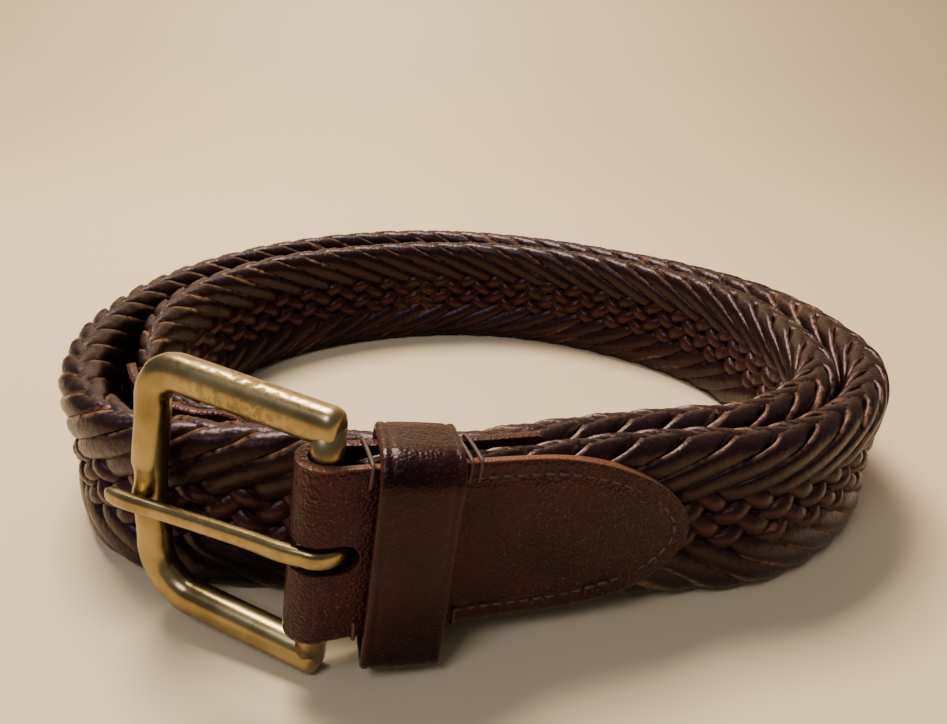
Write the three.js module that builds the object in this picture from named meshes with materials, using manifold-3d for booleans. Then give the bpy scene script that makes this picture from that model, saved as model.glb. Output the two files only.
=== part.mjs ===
// Braided leather belt with a brass buckle, coiled in a double loop and standing on its lower edge.
// Millimetres, +Z up. The buckle end is at the front, on the -Y side, and points to -X.
// The strap has its own coordinates: s runs along it from the buckle's bar, n is the distance out of
// its middle plane, away from the coil's centre, and v is the height above its middle line.
import * as THREE from 'three';
import { mergeVertices } from 'three/addons/utils/BufferGeometryUtils.js';
import Module from 'manifold-3d';

const wasm = await Module();
wasm.setup();

// Strap: the braid's ridges stand BRAID_RELIEF above its valleys, and slant back from the buckle
// by BRAID_SLANT for each millimetre of height. Under the leather it is pinched thin and narrow.
const STRAP_HEIGHT = 33;
const STRAP_THICKNESS = 8;
const PINCHED_HEIGHT = 29;
const PINCHED_THICKNESS = 4.4;
const PINCH_LENGTH = 38;
const BRAID_PITCH = 9.5;
const BRAID_RELIEF = 1.2;
const BRAID_SLANT = 1.6;

// Coil: its largest reach from the centre, the least and the widest room between the turns, and
// how far the buckle lifts the strap's end off the ground, and over what length
const COIL_REACH = 95;
const TURN_GAP = 1;
const LOOSE_GAP = 11;
const END_LIFT = 8;
const LIFT_LENGTH = 80;
const LIFT_CURVE = 1.3;

// Leather parts
const LEATHER = 1.8;
const TAB_HEIGHT = 30.4;
const TAB_FRONT = 62.5;
const TAB_BACK = 40;
const TAB_POINT = 30;
const TAB_CORNER = 5;
const KEEPER_WIDTH = 12.6;
const KEEPER_HEIGHT = 38.6;
const KEEPER_START = 7.4;
const KEEPER_ROOM = 3.4;
const KEEPER_TURN = 8;
const KEEPER_CORNER = 2;
const TIP_LENGTH = 40;
const TIP_OVERLAP = 28;
const TIP_POINT = 16;

// Buckle
const BAR_RADIUS = 2.5;
const FRAME_HEIGHT = 47.6;
const FRAME_REACH = 36.6;
const FRAME_CORNER = 9;
const FRAME_BOW = 1;
const FRAME_TURN = 43;
const FRAME_DROP = 0.8;
const RAIL_WIDTH = 6.2;
const RAIL_THICKNESS = 5.2;
const PRONG_WIDTH = 3.8;
const PRONG_THICKNESS = 2.6;
const PRONG_PAST = 2;
const PRONG_DROOP = 6;

// Clearances
const FIT = 0.3;
const SLOT_ROOM = 0.6;

const DEG = Math.PI / 180;
const HALF = STRAP_HEIGHT / 2;

// Route of the outer turn, anticlockwise from the buckle's bar. angle: degrees round the coil's centre.
// reach: share of COIL_REACH. slack: share of LOOSE_GAP that the inner turn keeps from this place of the
// outer turn, on top of TURN_GAP.
const ROUTE = [
  { angle: -103.6, reach: 0.996, slack: 1 },
  { angle: -97.5, reach: 0.934, slack: 0.55 },
  { angle: -90, reach: 0.879, slack: 0.15 },
  { angle: -79.5, reach: 0.835, slack: 0.06 },
  { angle: -70, reach: 0.829, slack: 0.07 },
  { angle: -59.6, reach: 0.856, slack: 0.05 },
  { angle: -50.5, reach: 0.91, slack: 0.04 },
  { angle: -41, reach: 0.948, slack: 0.05 },
  { angle: -30, reach: 0.98, slack: 0.06 },
  { angle: -18, reach: 0.992, slack: 0.18 },
  { angle: -5, reach: 0.963, slack: 0.25 },
  { angle: 8, reach: 0.924, slack: 0.18 },
  { angle: 20, reach: 0.874, slack: 0.1 },
  { angle: 32, reach: 0.82, slack: 0.06 },
  { angle: 44, reach: 0.775, slack: 0.06 },
  { angle: 57, reach: 0.75, slack: 0.12 },
  { angle: 70, reach: 0.75, slack: 0.28 },
  { angle: 84, reach: 0.768, slack: 0.5 },
  { angle: 100, reach: 0.795, slack: 0.73 },
  { angle: 118, reach: 0.821, slack: 0.76 },
  { angle: 136, reach: 0.848, slack: 0.6 },
  { angle: 154, reach: 0.88, slack: 0.37 },
  { angle: 172, reach: 0.913, slack: 0.24 },
  { angle: 188, reach: 0.942, slack: 0.24 },
  { angle: 202, reach: 0.967, slack: 0.3 },
  { angle: 214, reach: 0.985, slack: 0.32 },
  { angle: 224, reach: 0.982, slack: 0.26 },
  { angle: 233, reach: 0.933, slack: 0.1 },
  { angle: 243, reach: 0.858, slack: 0.06 },
];

// Section of the strap, outer side. v: share of half its height. n: share of half its thickness.
// phase: which half of the braid's pitch stands out there, 0 where the edge rests flat on the ground.
const SECTION = [
  { v: -1, n: 0.34, phase: 0 },
  { v: -0.87, n: 0.76, phase: 1 },
  { v: -0.6, n: 1, phase: 1 },
  { v: -0.2, n: 0.93, phase: -1 },
  { v: 0.2, n: 0.93, phase: 1 },
  { v: 0.6, n: 1, phase: -1 },
  { v: 0.87, n: 0.78, phase: -1 },
  { v: 1, n: 0.42, phase: -1 },
];

// Prong, from its eye to its tip. reach: share of the frame's reach. rise: share of PRONG_THICKNESS
// above the straight line over the rail. size: share of its full section.
const PRONG = [
  { reach: 0, rise: -0.1, size: 0.96 },
  { reach: 0.16, rise: 0.2, size: 1 },
  { reach: 0.4, rise: 0.32, size: 0.94 },
  { reach: 0.7, rise: 0.12, size: 0.88 },
  { reach: 0.92, rise: 0.02, size: 0.92 },
  { reach: 1, rise: -0.04, size: 0.9 },
];

// Route, in plan
function outerPoint({ angle, reach }) {
  const x = reach * COIL_REACH * Math.cos(angle * DEG);
  const y = reach * COIL_REACH * Math.sin(angle * DEG);
  return new THREE.Vector3(x, y, 0);
}

function innerPoint(row, index, outer) {
  const before = outer[Math.max(index - 1, 0)];
  const after = outer[Math.min(index + 1, outer.length - 1)];
  const along = after.clone().sub(before).normalize();
  const inward = new THREE.Vector3(-along.y, along.x, 0);
  return outer[index].clone().addScaledVector(inward, STRAP_THICKNESS + TURN_GAP + row.slack * LOOSE_GAP);
}

const outerTurn = ROUTE.map(outerPoint);
const innerTurn = ROUTE.map((row, index) => innerPoint(row, index, outerTurn));
const strapLine = new THREE.CatmullRomCurve3([...outerTurn, ...innerTurn], false, 'centripetal');
strapLine.arcLengthDivisions = 1200;
const STRAP_LENGTH = strapLine.getLength();

// The strap's own axes at a place along it. Before its start the line runs on straight.
function axesAt(s) {
  const share = THREE.MathUtils.clamp(s / STRAP_LENGTH, 0, 1);
  const ahead = strapLine.getTangentAt(share);
  const origin = strapLine.getPointAt(share).addScaledVector(ahead, s - share * STRAP_LENGTH);
  const left = Math.max(1 - s / LIFT_LENGTH, 0);
  origin.z = HALF + END_LIFT * left ** LIFT_CURVE;
  const slope = -(END_LIFT / LIFT_LENGTH) * LIFT_CURVE * left ** (LIFT_CURVE - 1);
  const along = ahead.clone().setZ(slope).normalize();
  const out = new THREE.Vector3(ahead.y, -ahead.x, 0);
  const up = new THREE.Vector3().crossVectors(out, along);
  return { origin, along, out, up };
}

function strapPoint(s, n, v) {
  const { origin, out, up } = axesAt(s);
  return origin.addScaledVector(out, n).addScaledVector(up, v);
}

// The strap starts clear of the prong's eye and ends inside its leather tip
const EYE_RADIUS = BAR_RADIUS + FIT + PRONG_THICKNESS;
const STRAP_START = EYE_RADIUS + 2 * FIT;
const STRAP_END = STRAP_LENGTH - (TIP_LENGTH - TIP_OVERLAP);

// How full the strap is: 0 where the leather pinches it, 1 where it is free
function fullnessAt(s) {
  const fromBuckle = THREE.MathUtils.smoothstep(s, TAB_FRONT - PINCH_LENGTH, TAB_FRONT);
  const fromTip = THREE.MathUtils.smoothstep(STRAP_LENGTH - s, TIP_LENGTH, TIP_LENGTH + PINCH_LENGTH);
  return Math.min(fromBuckle, fromTip);
}

function thicknessAt(s) {
  return THREE.MathUtils.lerp(PINCHED_THICKNESS, STRAP_THICKNESS, fullnessAt(s));
}

// Closed bodies from rings of points. A ring's second half mirrors its first, so its ends close in strips.
function body(rings, closedLoop = false) {
  const count = rings[0].length;
  const position = rings.flat().flatMap((point) => [point.x, point.y, point.z]);
  const index = [];
  const spans = closedLoop ? rings.length : rings.length - 1;
  for (let ring = 0; ring < spans; ring += 1) {
    const next = (ring + 1) % rings.length;
    for (let side = 0; side < count; side += 1) {
      const other = (side + 1) % count;
      const [a, b] = [ring * count + side, ring * count + other];
      const [c, d] = [next * count + other, next * count + side];
      index.push(a, c, b, a, d, c);
    }
  }
  if (!closedLoop) {
    const end = (rings.length - 1) * count;
    for (let side = 0; side < count / 2 - 1; side += 1) {
      const [a, b] = [side, side + 1];
      const [c, d] = [count - 2 - side, count - 1 - side];
      index.push(a, b, c, a, c, d);
      index.push(end + a, end + c, end + b, end + a, end + d, end + c);
    }
  }
  const geometry = new THREE.BufferGeometry();
  geometry.setAttribute('position', new THREE.Float32BufferAttribute(position, 3));
  geometry.setIndex(index);
  return facingOut(geometry);
}

function facingOut(geometry) {
  const { position } = geometry.attributes;
  const corner = [0, 1, 2].map(() => new THREE.Vector3());
  const index = [...geometry.index.array];
  let volume = 0;
  for (let face = 0; face < index.length; face += 3) {
    corner.forEach((point, k) => point.fromBufferAttribute(position, index[face + k]));
    volume += corner[0].dot(corner[1].clone().cross(corner[2]));
  }
  if (volume < 0) index.reverse();
  geometry.setIndex(index);
  return geometry;
}

function toSolid(geometry) {
  const plain = geometry.clone();
  plain.deleteAttribute('normal');
  plain.deleteAttribute('uv');
  const welded = mergeVertices(plain, 1e-4);
  const vertProperties = new Float32Array(welded.attributes.position.array);
  const triVerts = new Uint32Array(welded.index.array);
  return new wasm.Manifold(new wasm.Mesh({ numProp: 3, vertProperties, triVerts }));
}

function toGeometry(solid) {
  const { vertProperties, triVerts } = solid.getMesh();
  const geometry = new THREE.BufferGeometry();
  geometry.setAttribute('position', new THREE.BufferAttribute(new Float32Array(vertProperties), 3));
  geometry.setIndex(new THREE.BufferAttribute(new Uint32Array(triVerts), 1));
  return geometry;
}

// Braided strap: chevron-shaped rings, two to each pitch of the braid, one proud and the next sunk
function strapRing(s, slant, proud) {
  const sidePoint = (row, side) => {
    const at = s + slant * (Math.abs(row.v) - 0.5) * HALF;
    const onEdge = Math.abs(row.v) === 1;
    const relief = (BRAID_RELIEF / 2) * row.phase * proud;
    const room = (BRAID_RELIEF / 2) * Math.abs(row.phase);
    const halfThick = thicknessAt(at) / 2;
    const halfHigh = THREE.MathUtils.lerp(PINCHED_HEIGHT, STRAP_HEIGHT, fullnessAt(at)) / 2;
    const n = onEdge ? row.n * halfThick : row.n * (halfThick - room) + relief;
    const v = onEdge ? row.v * (halfHigh - room) + relief : row.v * halfHigh;
    return strapPoint(at, side * n, v);
  };
  const outer = SECTION.map((row) => sidePoint(row, 1));
  const inner = SECTION.map((row) => sidePoint(row, -1));
  return [...outer, ...inner.reverse()];
}

function braidedStrap() {
  const steps = 2 * Math.round((STRAP_END - STRAP_START) / BRAID_PITCH);
  const step = (STRAP_END - STRAP_START) / steps;
  const rings = [];
  for (let i = 0; i <= steps; i += 1) {
    const fromEnd = Math.min(i, steps - i) * step;
    const slant = BRAID_SLANT * THREE.MathUtils.smoothstep(fromEnd, 0, 2 * STRAP_HEIGHT);
    const proud = i % 2 === 0 ? 1 : -1;
    rings.push(strapRing(STRAP_START + i * step, slant, fromEnd === 0 ? 0 : proud));
  }
  return body(rings);
}

// Leather strip: its middle line is a list of places in s and n, each with the strip's half height
// there. Its thickness is laid off square to the line.
function leatherStrip(line) {
  const rings = line.map(({ s, n, half }, index) => {
    const before = line[Math.max(index - 1, 0)];
    const after = line[Math.min(index + 1, line.length - 1)];
    const along = new THREE.Vector2(after.s - before.s, after.n - before.n).normalize();
    const across = new THREE.Vector2(-along.y, along.x).multiplyScalar(LEATHER / 2);
    return [
      strapPoint(s + across.x, n + across.y, -half),
      strapPoint(s + across.x, n + across.y, half),
      strapPoint(s - across.x, n - across.y, half),
      strapPoint(s - across.x, n - across.y, -half),
    ];
  });
  return body(rings);
}

// Rectangle square to the strap, reaching n and v to both sides of its line
function crossSection(s, n, v) {
  return [strapPoint(s, n, -v), strapPoint(s, n, v), strapPoint(s, -n, v), strapPoint(s, -n, -v)];
}

function pointedHalf(full, fromEnd, pointLength) {
  const share = THREE.MathUtils.clamp(1 - fromEnd / pointLength, 0, 0.97);
  return full * Math.sqrt(1 - share * share);
}

// Tab: one strip folded round the bar and laid over the front and the back of the strap
const FOLD_RADIUS = BAR_RADIUS + FIT + LEATHER / 2;
const FOLD_STEPS = 8;
const TAB_STEPS = 15;

function layerOffset(s) {
  const overStrap = (thicknessAt(s) + LEATHER) / 2 + FIT;
  return THREE.MathUtils.lerp(FOLD_RADIUS, overStrap, THREE.MathUtils.smoothstep(s, 0, STRAP_START));
}

function tabLayer(length, point, side) {
  const line = [];
  for (let i = 0; i <= TAB_STEPS; i += 1) {
    const s = length * Math.sin((i / TAB_STEPS) * 90 * DEG);
    line.push({ s, n: side * layerOffset(s), half: pointedHalf(TAB_HEIGHT / 2, length - s, point) });
  }
  return line;
}

function tab() {
  const fold = [];
  for (let i = 1; i < FOLD_STEPS; i += 1) {
    const angle = (i / FOLD_STEPS) * 180 * DEG;
    fold.push({ s: -FOLD_RADIUS * Math.sin(angle), n: -FOLD_RADIUS * Math.cos(angle), half: TAB_HEIGHT / 2 });
  }
  const back = tabLayer(TAB_BACK, TAB_CORNER, -1).reverse();
  const leather = leatherStrip([...back, ...fold, ...tabLayer(TAB_FRONT, TAB_POINT, 1)]);
  return toGeometry(toSolid(leather).subtract(toSolid(prongSlot())));
}

// Slot through the fold for the prong's eye
function prongSlot() {
  const half = PRONG_WIDTH / 2 + SLOT_ROOM;
  const deep = FOLD_RADIUS + LEATHER;
  const end = Math.sqrt(EYE_RADIUS ** 2 - (FOLD_RADIUS - LEATHER / 2) ** 2) + SLOT_ROOM;
  return body([-deep, 0, end].map((s) => crossSection(s, deep, half)));
}

// Keeper: a closed loop of leather that hangs on the tab's top edge, loose and turned a little on it
function keeper() {
  const middle = KEEPER_START + KEEPER_WIDTH / 2;
  const { origin, along, out, up } = axesAt(middle);
  along.applyAxisAngle(up, -KEEPER_TURN * DEG);
  out.applyAxisAngle(up, -KEEPER_TURN * DEG);
  const place = (a, n, v) => {
    const point = origin.clone().addScaledVector(along, a);
    return point.addScaledVector(out, n).addScaledVector(up, v);
  };
  const tabHalf = layerOffset(middle) + LEATHER / 2;
  const turned = (KEEPER_WIDTH / 2) * Math.sin(KEEPER_TURN * DEG);
  const back = -(tabHalf + turned + 2 * FIT + LEATHER / 2);
  const front = tabHalf + KEEPER_ROOM - LEATHER / 2;
  const top = TAB_HEIGHT / 2 + 2 * FIT + LEATHER / 2;
  const bottom = top - (KEEPER_HEIGHT - LEATHER);
  const outline = new THREE.Path();
  const corner = KEEPER_CORNER;
  outline.absarc(front - corner, top - corner, corner, 0, 90 * DEG);
  outline.absarc(back + corner, top - corner, corner, 90 * DEG, 180 * DEG);
  outline.absarc(back + corner, bottom + corner, corner, 180 * DEG, 270 * DEG);
  outline.absarc(front - corner, bottom + corner, corner, 270 * DEG, 360 * DEG);
  const places = outline.getPoints(4).slice(0, -1);
  const rings = places.map((point, k) => {
    const before = places[(k + places.length - 1) % places.length];
    const after = places[(k + 1) % places.length];
    const across = after.clone().sub(before).normalize().rotateAround(new THREE.Vector2(), -90 * DEG);
    const outside = point.clone().addScaledVector(across, LEATHER / 2);
    const inside = point.clone().addScaledVector(across, -LEATHER / 2);
    return [
      place(-KEEPER_WIDTH / 2, outside.x, outside.y),
      place(KEEPER_WIDTH / 2, outside.x, outside.y),
      place(KEEPER_WIDTH / 2, inside.x, inside.y),
      place(-KEEPER_WIDTH / 2, inside.x, inside.y),
    ];
  });
  return body(rings, true);
}

// Tip: two layers of leather over the strap's free end, joined past it in a rounded point
function tip() {
  const start = STRAP_LENGTH - TIP_LENGTH;
  const thick = PINCHED_THICKNESS / 2 + FIT + LEATHER;
  const outside = [];
  for (let i = 0; i <= TAB_STEPS; i += 1) {
    const s = start + TIP_LENGTH * Math.sin((i / TAB_STEPS) * 90 * DEG);
    const half = pointedHalf(TAB_HEIGHT / 2, STRAP_LENGTH - s, TIP_POINT);
    outside.push(crossSection(s, thick, half));
  }
  const pocket = [];
  const deep = PINCHED_THICKNESS / 2 + FIT;
  for (let i = 0; i <= FOLD_STEPS; i += 1) {
    const s = start - LEATHER + ((TIP_OVERLAP + LEATHER + FIT) * i) / FOLD_STEPS;
    pocket.push(crossSection(s, deep, HALF));
  }
  return toGeometry(toSolid(body(outside)).subtract(toSolid(body(pocket))));
}

// Buckle: its own coordinates are r, out from the bar, m, out of the frame's face, and v, along the bar
const barAxes = axesAt(0);
const swing = FRAME_TURN * DEG;
const frameOut = barAxes.along.clone().negate().applyAxisAngle(barAxes.up, -swing);
const frameFace = barAxes.out.clone().applyAxisAngle(barAxes.up, -swing);

function bucklePoint(r, m, v) {
  return barAxes.origin.clone()
    .addScaledVector(frameOut, r)
    .addScaledVector(frameFace, m)
    .addScaledVector(barAxes.up, v);
}

const SECTION_SIDES = 12;

function roundSection(r, v, outward, size, width, thickness) {
  const ring = [];
  for (let k = 0; k < SECTION_SIDES; k += 1) {
    const angle = ((k + 0.5) / SECTION_SIDES) * 360 * DEG;
    const across = (Math.cos(angle) * width * size) / 2;
    const height = (Math.sin(angle) * thickness * size) / 2;
    ring.push(bucklePoint(r + outward.x * across, height, v + outward.y * across));
  }
  return ring;
}

// Three-sided rail, from one end of the bar round to the other, and the bar between its ends. The whole
// frame has dropped by FRAME_DROP in the fold.
function buckleFrame() {
  const high = (FRAME_HEIGHT - RAIL_WIDTH) / 2;
  const far = FRAME_REACH - RAIL_WIDTH / 2 - FRAME_BOW;
  const corner = FRAME_CORNER - RAIL_WIDTH / 2;
  const path = [];
  for (const [back, size] of [[0.4, 0.4], [0.33, 0.75], [0.2, 0.95], [0, 1]]) {
    path.push({ r: -back * RAIL_WIDTH, v: high, angle: 90, size });
  }
  path.push({ r: far * 0.4, v: high, angle: 90, size: 1 });
  for (let angle = 90; angle >= 0; angle -= 15) {
    const r = far - corner + corner * Math.cos(angle * DEG);
    path.push({ r, v: high - corner + corner * Math.sin(angle * DEG), angle, size: 1 });
  }
  path.push({ r: far + FRAME_BOW, v: 0, angle: 0, size: 1 });
  const mirrored = ({ v, angle, ...rest }) => ({ v: -v, angle: -angle, ...rest });
  const lower = path.slice(0, -1).reverse().map(mirrored);
  const rings = [...path, ...lower].map(({ r, v, angle, size }) => {
    const outward = new THREE.Vector2(Math.cos(angle * DEG), Math.sin(angle * DEG));
    return roundSection(r, v - FRAME_DROP, outward, size, RAIL_WIDTH, RAIL_THICKNESS);
  });
  const bar = new THREE.CylinderGeometry(BAR_RADIUS, BAR_RADIUS, 2 * high, 20);
  const axes = new THREE.Matrix4().makeBasis(frameOut, barAxes.up, frameOut.clone().cross(barAxes.up));
  bar.applyMatrix4(axes.setPosition(bucklePoint(0, 0, -FRAME_DROP)));
  return toGeometry(toSolid(body(rings)).add(toSolid(bar)));
}

// Prong: an eye bent round the bar and a blade that lies over the far rail, drooping to one side
function buckleProng() {
  const inner = BAR_RADIUS + FIT;
  const half = PRONG_WIDTH / 2;
  const profile = [[inner, -half], [EYE_RADIUS, -half], [EYE_RADIUS, half], [inner, half], [inner, -half]];
  const eye = new THREE.LatheGeometry(profile.map(([x, y]) => new THREE.Vector2(x, y)), 20);
  const axes = new THREE.Matrix4().makeBasis(frameOut, barAxes.up, frameOut.clone().cross(barAxes.up));
  eye.applyMatrix4(axes.setPosition(barAxes.origin));
  const onEye = inner + PRONG_THICKNESS / 2;
  const onRail = (RAIL_THICKNESS + PRONG_THICKNESS) / 2 + FIT;
  const rings = PRONG.map(({ reach, rise, size }) => {
    const m = THREE.MathUtils.lerp(onEye, onRail, reach) + rise * PRONG_THICKNESS;
    return prongSection(reach * FRAME_REACH, m, size);
  });
  rings.push(prongSection(FRAME_REACH + PRONG_PAST * 0.6, onRail - 0.3 * PRONG_THICKNESS, 0.78));
  rings.push(prongSection(FRAME_REACH + PRONG_PAST, onRail - 0.5 * PRONG_THICKNESS, 0.4));
  return toGeometry(toSolid(facingOut(weld(eye))).add(toSolid(body(rings))));
}

function prongSection(r, m, size) {
  const ring = [];
  for (let k = 0; k < 8; k += 1) {
    const angle = ((k + 0.5) / 8) * 360 * DEG;
    const v = (Math.cos(angle) * PRONG_WIDTH * size) / 2;
    const droop = r * Math.tan(PRONG_DROOP * DEG);
    ring.push(bucklePoint(r, m + (Math.sin(angle) * PRONG_THICKNESS * size) / 2, v - droop));
  }
  return ring;
}

function weld(geometry) {
  geometry.deleteAttribute('normal');
  geometry.deleteAttribute('uv');
  return mergeVertices(geometry, 1e-4);
}

// Scene
const braidLeather = new THREE.MeshStandardMaterial({ color: 0x33211f, roughness: 0.55, metalness: 0 });
const tabLeather = new THREE.MeshStandardMaterial({ color: 0x3a201c, roughness: 0.45, metalness: 0 });
const keeperLeather = new THREE.MeshStandardMaterial({ color: 0x371a19, roughness: 0.3, metalness: 0 });
const brass = new THREE.MeshStandardMaterial({ color: 0xa38a52, roughness: 0.35, metalness: 1 });

const belt = new THREE.Group();

function addPiece(name, geometry, material) {
  const mesh = new THREE.Mesh(geometry, material);
  mesh.name = name;
  belt.add(mesh);
}

addPiece('braided_strap', braidedStrap(), braidLeather);
addPiece('buckle_tab', tab(), tabLeather);
addPiece('keeper', keeper(), keeperLeather);
addPiece('strap_tip', tip(), tabLeather);
addPiece('buckle_frame', buckleFrame(), brass);
addPiece('buckle_prong', buckleProng(), brass);

// The origin is on the ground under the middle of the belt's outline
const reach = new THREE.Box3().setFromObject(belt);
const centre = reach.getCenter(new THREE.Vector3());
belt.position.set(-centre.x, -centre.y, -reach.min.z);

export default belt;
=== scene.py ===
# %% [markdown]
# A braided leather belt, coiled in a double loop and standing on its lower edge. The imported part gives
# the frame that everything here is built in, and this scene dresses it. The pieces are made one by one:
# the braid, the leather of the buckle end, its stitches and knots, the keeper, the tip and the buckle.

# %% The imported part
import math

import bmesh
import bpy
import numpy as np
from mathutils import Matrix, Vector


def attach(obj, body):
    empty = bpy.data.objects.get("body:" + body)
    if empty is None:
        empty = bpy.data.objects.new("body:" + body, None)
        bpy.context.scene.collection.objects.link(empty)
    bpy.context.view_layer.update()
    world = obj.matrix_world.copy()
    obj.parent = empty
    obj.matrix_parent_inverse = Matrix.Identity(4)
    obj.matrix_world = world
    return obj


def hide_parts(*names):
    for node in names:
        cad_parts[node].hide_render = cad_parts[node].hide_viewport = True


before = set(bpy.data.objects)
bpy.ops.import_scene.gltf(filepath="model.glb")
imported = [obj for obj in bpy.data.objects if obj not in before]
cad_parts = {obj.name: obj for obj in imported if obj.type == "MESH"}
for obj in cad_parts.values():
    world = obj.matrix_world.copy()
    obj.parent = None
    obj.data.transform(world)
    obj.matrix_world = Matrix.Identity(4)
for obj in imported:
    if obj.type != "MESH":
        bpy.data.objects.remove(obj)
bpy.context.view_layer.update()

# %% [markdown]
# A few small helpers serve every step. Sizes are written in millimetres, as a belt maker gives them, and
# become metres only when a mesh is made. A colour is picked in sRGB, as a screen shows it, and shaders
# want it linear. One function adds a node, sets it and links it, so a tree reads as a list of steps.

# %% Helpers
MM = 0.001
MATH = "ShaderNodeMath"
VECTOR = "ShaderNodeVectorMath"


def linear(code):
    shares = [int(code[k:k + 2], 16) / 255 for k in (1, 3, 5)]
    return tuple(c / 12.92 if c <= 0.04045 else ((c + 0.055) / 1.055) ** 2.4 for c in shares) + (1.0,)


def add_node(tree, kind, inputs=None, **settings):
    """Adds a node. Each input is a plain value, or the socket of another node to link."""
    node = tree.nodes.new(kind)
    for name, value in settings.items():
        setattr(node, name, value)
    for socket, value in (inputs or {}).items():
        if isinstance(value, bpy.types.NodeSocket):
            tree.links.new(value, node.inputs[socket])
        else:
            node.inputs[socket].default_value = value
    return node


def add_object(name, data):
    item = bpy.data.objects.new(name, data)
    bpy.context.collection.objects.link(item)
    return item


def mesh_object(name, points, faces, marks=None, edges=()):
    """A mesh from points in millimetres. marks are named numbers, one for each point."""
    mesh = bpy.data.meshes.new(name)
    mesh.from_pydata([tuple(p) for p in np.asarray(points) * MM], edges, [tuple(f) for f in faces])
    for mark, values in (marks or {}).items():
        set_mark(mesh, mark, values)
    return add_object(name, mesh)


def set_mark(mesh, mark, values):
    column = mesh.attributes.new(mark, "FLOAT", "POINT")
    column.data.foreach_set("value", np.asarray(values, dtype=float))


def finish_mesh(item, smooth=True):
    """Turns every face outwards and shades the piece."""
    work = bmesh.new()
    work.from_mesh(item.data)
    bmesh.ops.recalc_face_normals(work, faces=work.faces)
    work.to_mesh(item.data)
    work.free()
    if smooth:
        item.data.shade_smooth()
    else:
        item.data.shade_flat()
    print(item.name, "triangles:", sum(len(p.vertices) - 2 for p in item.data.polygons))
    return item


def apply_modifiers(item):
    """Replaces the mesh by its evaluated one and clears the modifiers."""
    ready = item.evaluated_get(bpy.context.evaluated_depsgraph_get())
    mesh = bpy.data.meshes.new_from_object(ready)
    item.modifiers.clear()
    item.data = mesh
    return item


# %% [markdown]
# The camera comes first, because it fixes the view. The belt was seen from just above, by someone
# leaning over the table, with a wide phone lens. A long way to find such a camera is by trial. Here it
# was worked out from the belt's own width, so its height, tilt and lens are plain numbers.

# %% Camera
CAMERA_PLACE = (-1.352, -167.54, 93)
CAMERA_DOWN = 23.9
CAMERA_ROLL = 2
FOCAL_PIXELS = 700
PICTURE_WIDTH = 947

eye = bpy.data.cameras.new("camera")
eye.sensor_width = 36
eye.lens = FOCAL_PIXELS / PICTURE_WIDTH * eye.sensor_width
eye.clip_start = 0.005
camera = add_object("camera", eye)
tilt = Matrix.Rotation(math.radians(90 - CAMERA_DOWN), 4, "X")
roll = Matrix.Rotation(math.radians(CAMERA_ROLL), 4, "Z")
camera.matrix_world = Matrix.Translation(Vector(CAMERA_PLACE) * MM) @ tilt @ roll
bpy.context.scene.camera = camera
print("lens", round(eye.lens, 2), "mm")

# %% [markdown]
# The strap's route is the belt's main shape. A belt put down in a coil keeps smooth curves, so the route
# is a short list of places round the coil, and a centripetal Catmull-Rom spline joins them. Its inner
# turn is the outer one moved inwards by the strap's thickness and the slack between the turns.

# %% Route
COIL_REACH = 95
COIL_SHIFT = (-1.3524, 9.4633)
STRAP_HEIGHT = 33
STRAP_THICKNESS = 8
TURN_GAP = 1
LOOSE_GAP = 11
END_LIFT = 8
LIFT_LENGTH = 80
LIFT_CURVE = 1.3
STEPS_PER_PLACE = 60
PLAN_POINTS = 2400

# angle in degrees, reach and slack as shares of COIL_REACH and LOOSE_GAP
ROUTE = [
    (-103.6, 0.996, 1), (-97.5, 0.934, 0.55), (-90, 0.879, 0.15), (-79.5, 0.835, 0.06), (-70, 0.829, 0.07),
    (-59.6, 0.856, 0.05), (-50.5, 0.91, 0.04), (-41, 0.948, 0.05), (-30, 0.98, 0.06), (-18, 0.992, 0.18),
    (-5, 0.963, 0.25), (8, 0.924, 0.18), (20, 0.874, 0.1), (32, 0.82, 0.06), (44, 0.775, 0.06),
    (57, 0.75, 0.12), (70, 0.75, 0.28), (84, 0.768, 0.5), (100, 0.795, 0.73), (118, 0.821, 0.76),
    (136, 0.848, 0.6), (154, 0.88, 0.37), (172, 0.913, 0.24), (188, 0.942, 0.24), (202, 0.967, 0.3),
    (214, 0.985, 0.32), (224, 0.982, 0.26), (233, 0.933, 0.1), (243, 0.858, 0.06),
]


def unit(rows):
    return rows / np.linalg.norm(rows, axis=-1)[..., None]


def outer_and_inner_turn():
    angle, reach, slack = np.array(ROUTE).T
    turn = np.radians(angle)
    outer = np.stack([np.cos(turn), np.sin(turn)], 1) * (reach * COIL_REACH)[:, None]
    along = np.empty_like(outer)
    along[1:-1] = outer[2:] - outer[:-2]
    along[0], along[-1] = outer[1] - outer[0], outer[-1] - outer[-2]
    along = unit(along)
    inward = np.stack([-along[:, 1], along[:, 0]], 1)
    inner = outer + inward * (STRAP_THICKNESS + TURN_GAP + slack * LOOSE_GAP)[:, None]
    return np.vstack([outer, inner])


def spline(places, steps):
    """Centripetal Catmull-Rom spline through the places."""
    ends = [2 * places[0] - places[1], 2 * places[-1] - places[-2]]
    p = np.vstack([ends[0], places, ends[1]])
    gap = np.linalg.norm(np.diff(p, axis=0), axis=1) ** 0.5
    share = np.arange(steps)[:, None] / steps
    course = []
    for k in range(1, len(p) - 2):
        a, b, c = gap[k - 1], gap[k], gap[k + 1]
        start = ((p[k] - p[k - 1]) / a - (p[k + 1] - p[k - 1]) / (a + b) + (p[k + 1] - p[k]) / b) * b
        end = ((p[k + 1] - p[k]) / b - (p[k + 2] - p[k]) / (b + c) + (p[k + 2] - p[k + 1]) / c) * b
        bend = -3 * p[k] + 3 * p[k + 1] - 2 * start - end
        turn = 2 * p[k] - 2 * p[k + 1] + start + end
        course.append(p[k] + share * start + share ** 2 * bend + share ** 3 * turn)
    course.append(places[-1:])
    return np.vstack(course)


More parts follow.
